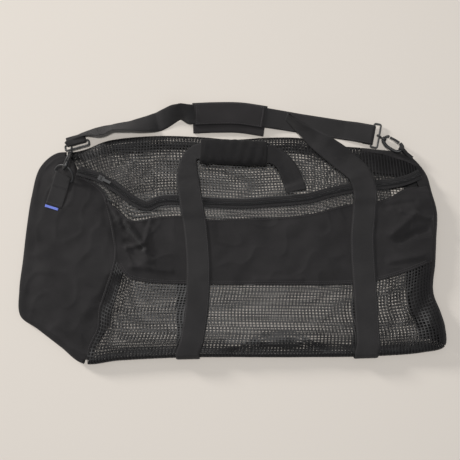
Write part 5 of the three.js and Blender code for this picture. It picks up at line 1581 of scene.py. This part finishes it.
# %% [markdown]
# ## Seams and stitches
# The net's edges are bound with narrow tape where they meet the cloth, and the straps are sewn
# down with doubled rows of thread.

# %% Binding along the seams
def on_cloth(line, above):
    return np.concatenate([line, (cloth_height(line) + above)[:, None]], 1)


def bound_edge(name, curve, k0, k1, offset, width, above):
    shares = np.linspace(k0, k1, 200)
    side = left_of(curve.tangent(shares))
    line = curve.at(shares) + side * offset
    heights = cloth_height(line) + above
    stations = [(raised(p, h), np.array([s[0], s[1], 0]), width)
                for p, s, h in zip(line, side, heights)]
    return strap_mesh(name, stations, 0.7, panel_cloth, 1, 6)


low_binding = bound_edge("band_low_binding", band_low, 0.0, 1.0, 0.8, 3.4, 0.2)
high_binding = bound_edge("band_high_binding", band_top, 0.0, 0.97, -0.8, 3.4, 0.2)
seam_binding = bound_edge("left_seam_binding", left_seam, 0.03, 0.97, -0.6, 3.6, 0.2)
flap_binding = bound_edge("corner_flap_binding", top_edge, 0.86, 1.0, 1.0, 4.5, 0.35)


def seam_rows(curve, offsets, above, k0=0.02, k1=0.98):
    lines = []
    for offset in offsets:
        shares = np.linspace(k0, k1, 160)
        line = curve.at(shares) + left_of(curve.tangent(shares)) * offset
        lines.append(on_cloth(line, above))
    return lines


seam_stitches = row_of(
    "seam_stitches",
    seam_rows(band_low, (2.2, 5.5), 0.9) + seam_rows(band_top, (-2.0,), 0.9, 0.02, 0.95)
    + seam_rows(left_seam, (1.4,), 0.9, 0.05, 0.93), 3.6, (2.5, 0.6, 0.5), stitch_thread)


# %% Stitches on straps, pad, tab and wrap
def along_strap(stations, across, above, first_station, last_station):
    places, sides, widths = dense(stations[first_station:last_station], 4)
    ups = unit(np.cross(sides, np.gradient(places, axis=0)))
    return places + sides * (widths * across / 2)[:, None] + ups * above


def up_strap(stations, first_station, last_station, across):
    """A strap sewn along both edges, up to where it leaves the bag."""
    return [along_strap(stations, a, webbing_wall / 2 + 0.05, first_station, last_station)
            for a in across]


strap_stitches = row_of(
    "strap_stitches",
    up_strap(left_stations, under_stations, 24, (-0.88, 0.88))
    + up_strap(right_stations, under_stations, 22, (-0.88, 0.88))
    + [along_strap(shoulder_stations, a, webbing_wall / 2 + 0.05, 44, 58) for a in (-0.86, 0.86)],
    3.4, (2.4, 0.6, 0.4), stitch_thread)
across_lines = []
for t in (0.055, 0.085, 0.915, 0.945):
    across = np.linspace(-18, 18, 20)
    p = pad_point(np.full(20, t), across)
    across_lines.append(np.concatenate([p, np.full((20, 1), cover_top - 0.3)], 1))
for side in (-1, 1):
    t = np.linspace(0.05, 0.95, 60)
    p = pad_point(t, side * 19.5)
    across_lines.append(np.concatenate([p, np.full((60, 1), cover_top - 0.35)], 1))
pad_stitches = row_of("pad_stitches", across_lines, 3.2, (2.4, 0.7, 0.5), stitch_thread)
tab_lines = []
for distance in (18, 22, 55):
    p, level = tab_rest(distance)
    level += webbing_wall / 2 + (2.3 if distance < 20 else (1.2 if distance < 25 else 0.05))
    tab_lines.append(np.array([raised(p + direction(d_azimuth - 72) * s, level)
                               for s in np.linspace(-14, 14, 12)]))
tab_stitches = row_of("tab_stitches", tab_lines, 2.8, (2.0, 0.6, 0.45), stitch_thread)

# %% [markdown]
# ## Every piece rides on the bag
# The band and the end panels are flat cuts that lie on the net below them. Each new piece, listed
# here by its kind, is hung on the bag's body.


slots = {
    "net": (front_lower_mesh, front_mesh_strip, top_mesh, back_mesh, bottom_fold, top_fold),
    "cloth": (front_band, end_left_panel, end_right_panel, handle_wrap, pad_base, pad_cover),
    "webbing": (handle_left, handle_right, shoulder_strap, left_tab, right_tab),
    "blue": (left_tag,),
    "tape": (zipper_tape, zipper_coil, low_binding, high_binding, seam_binding, flap_binding,
             seam_stitches, strap_stitches, pad_stitches, tab_stitches, tape_stitches),
}
for slot, piece in [(slot, piece) for slot, pieces in slots.items() for piece in pieces]:
    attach(piece, "bag")
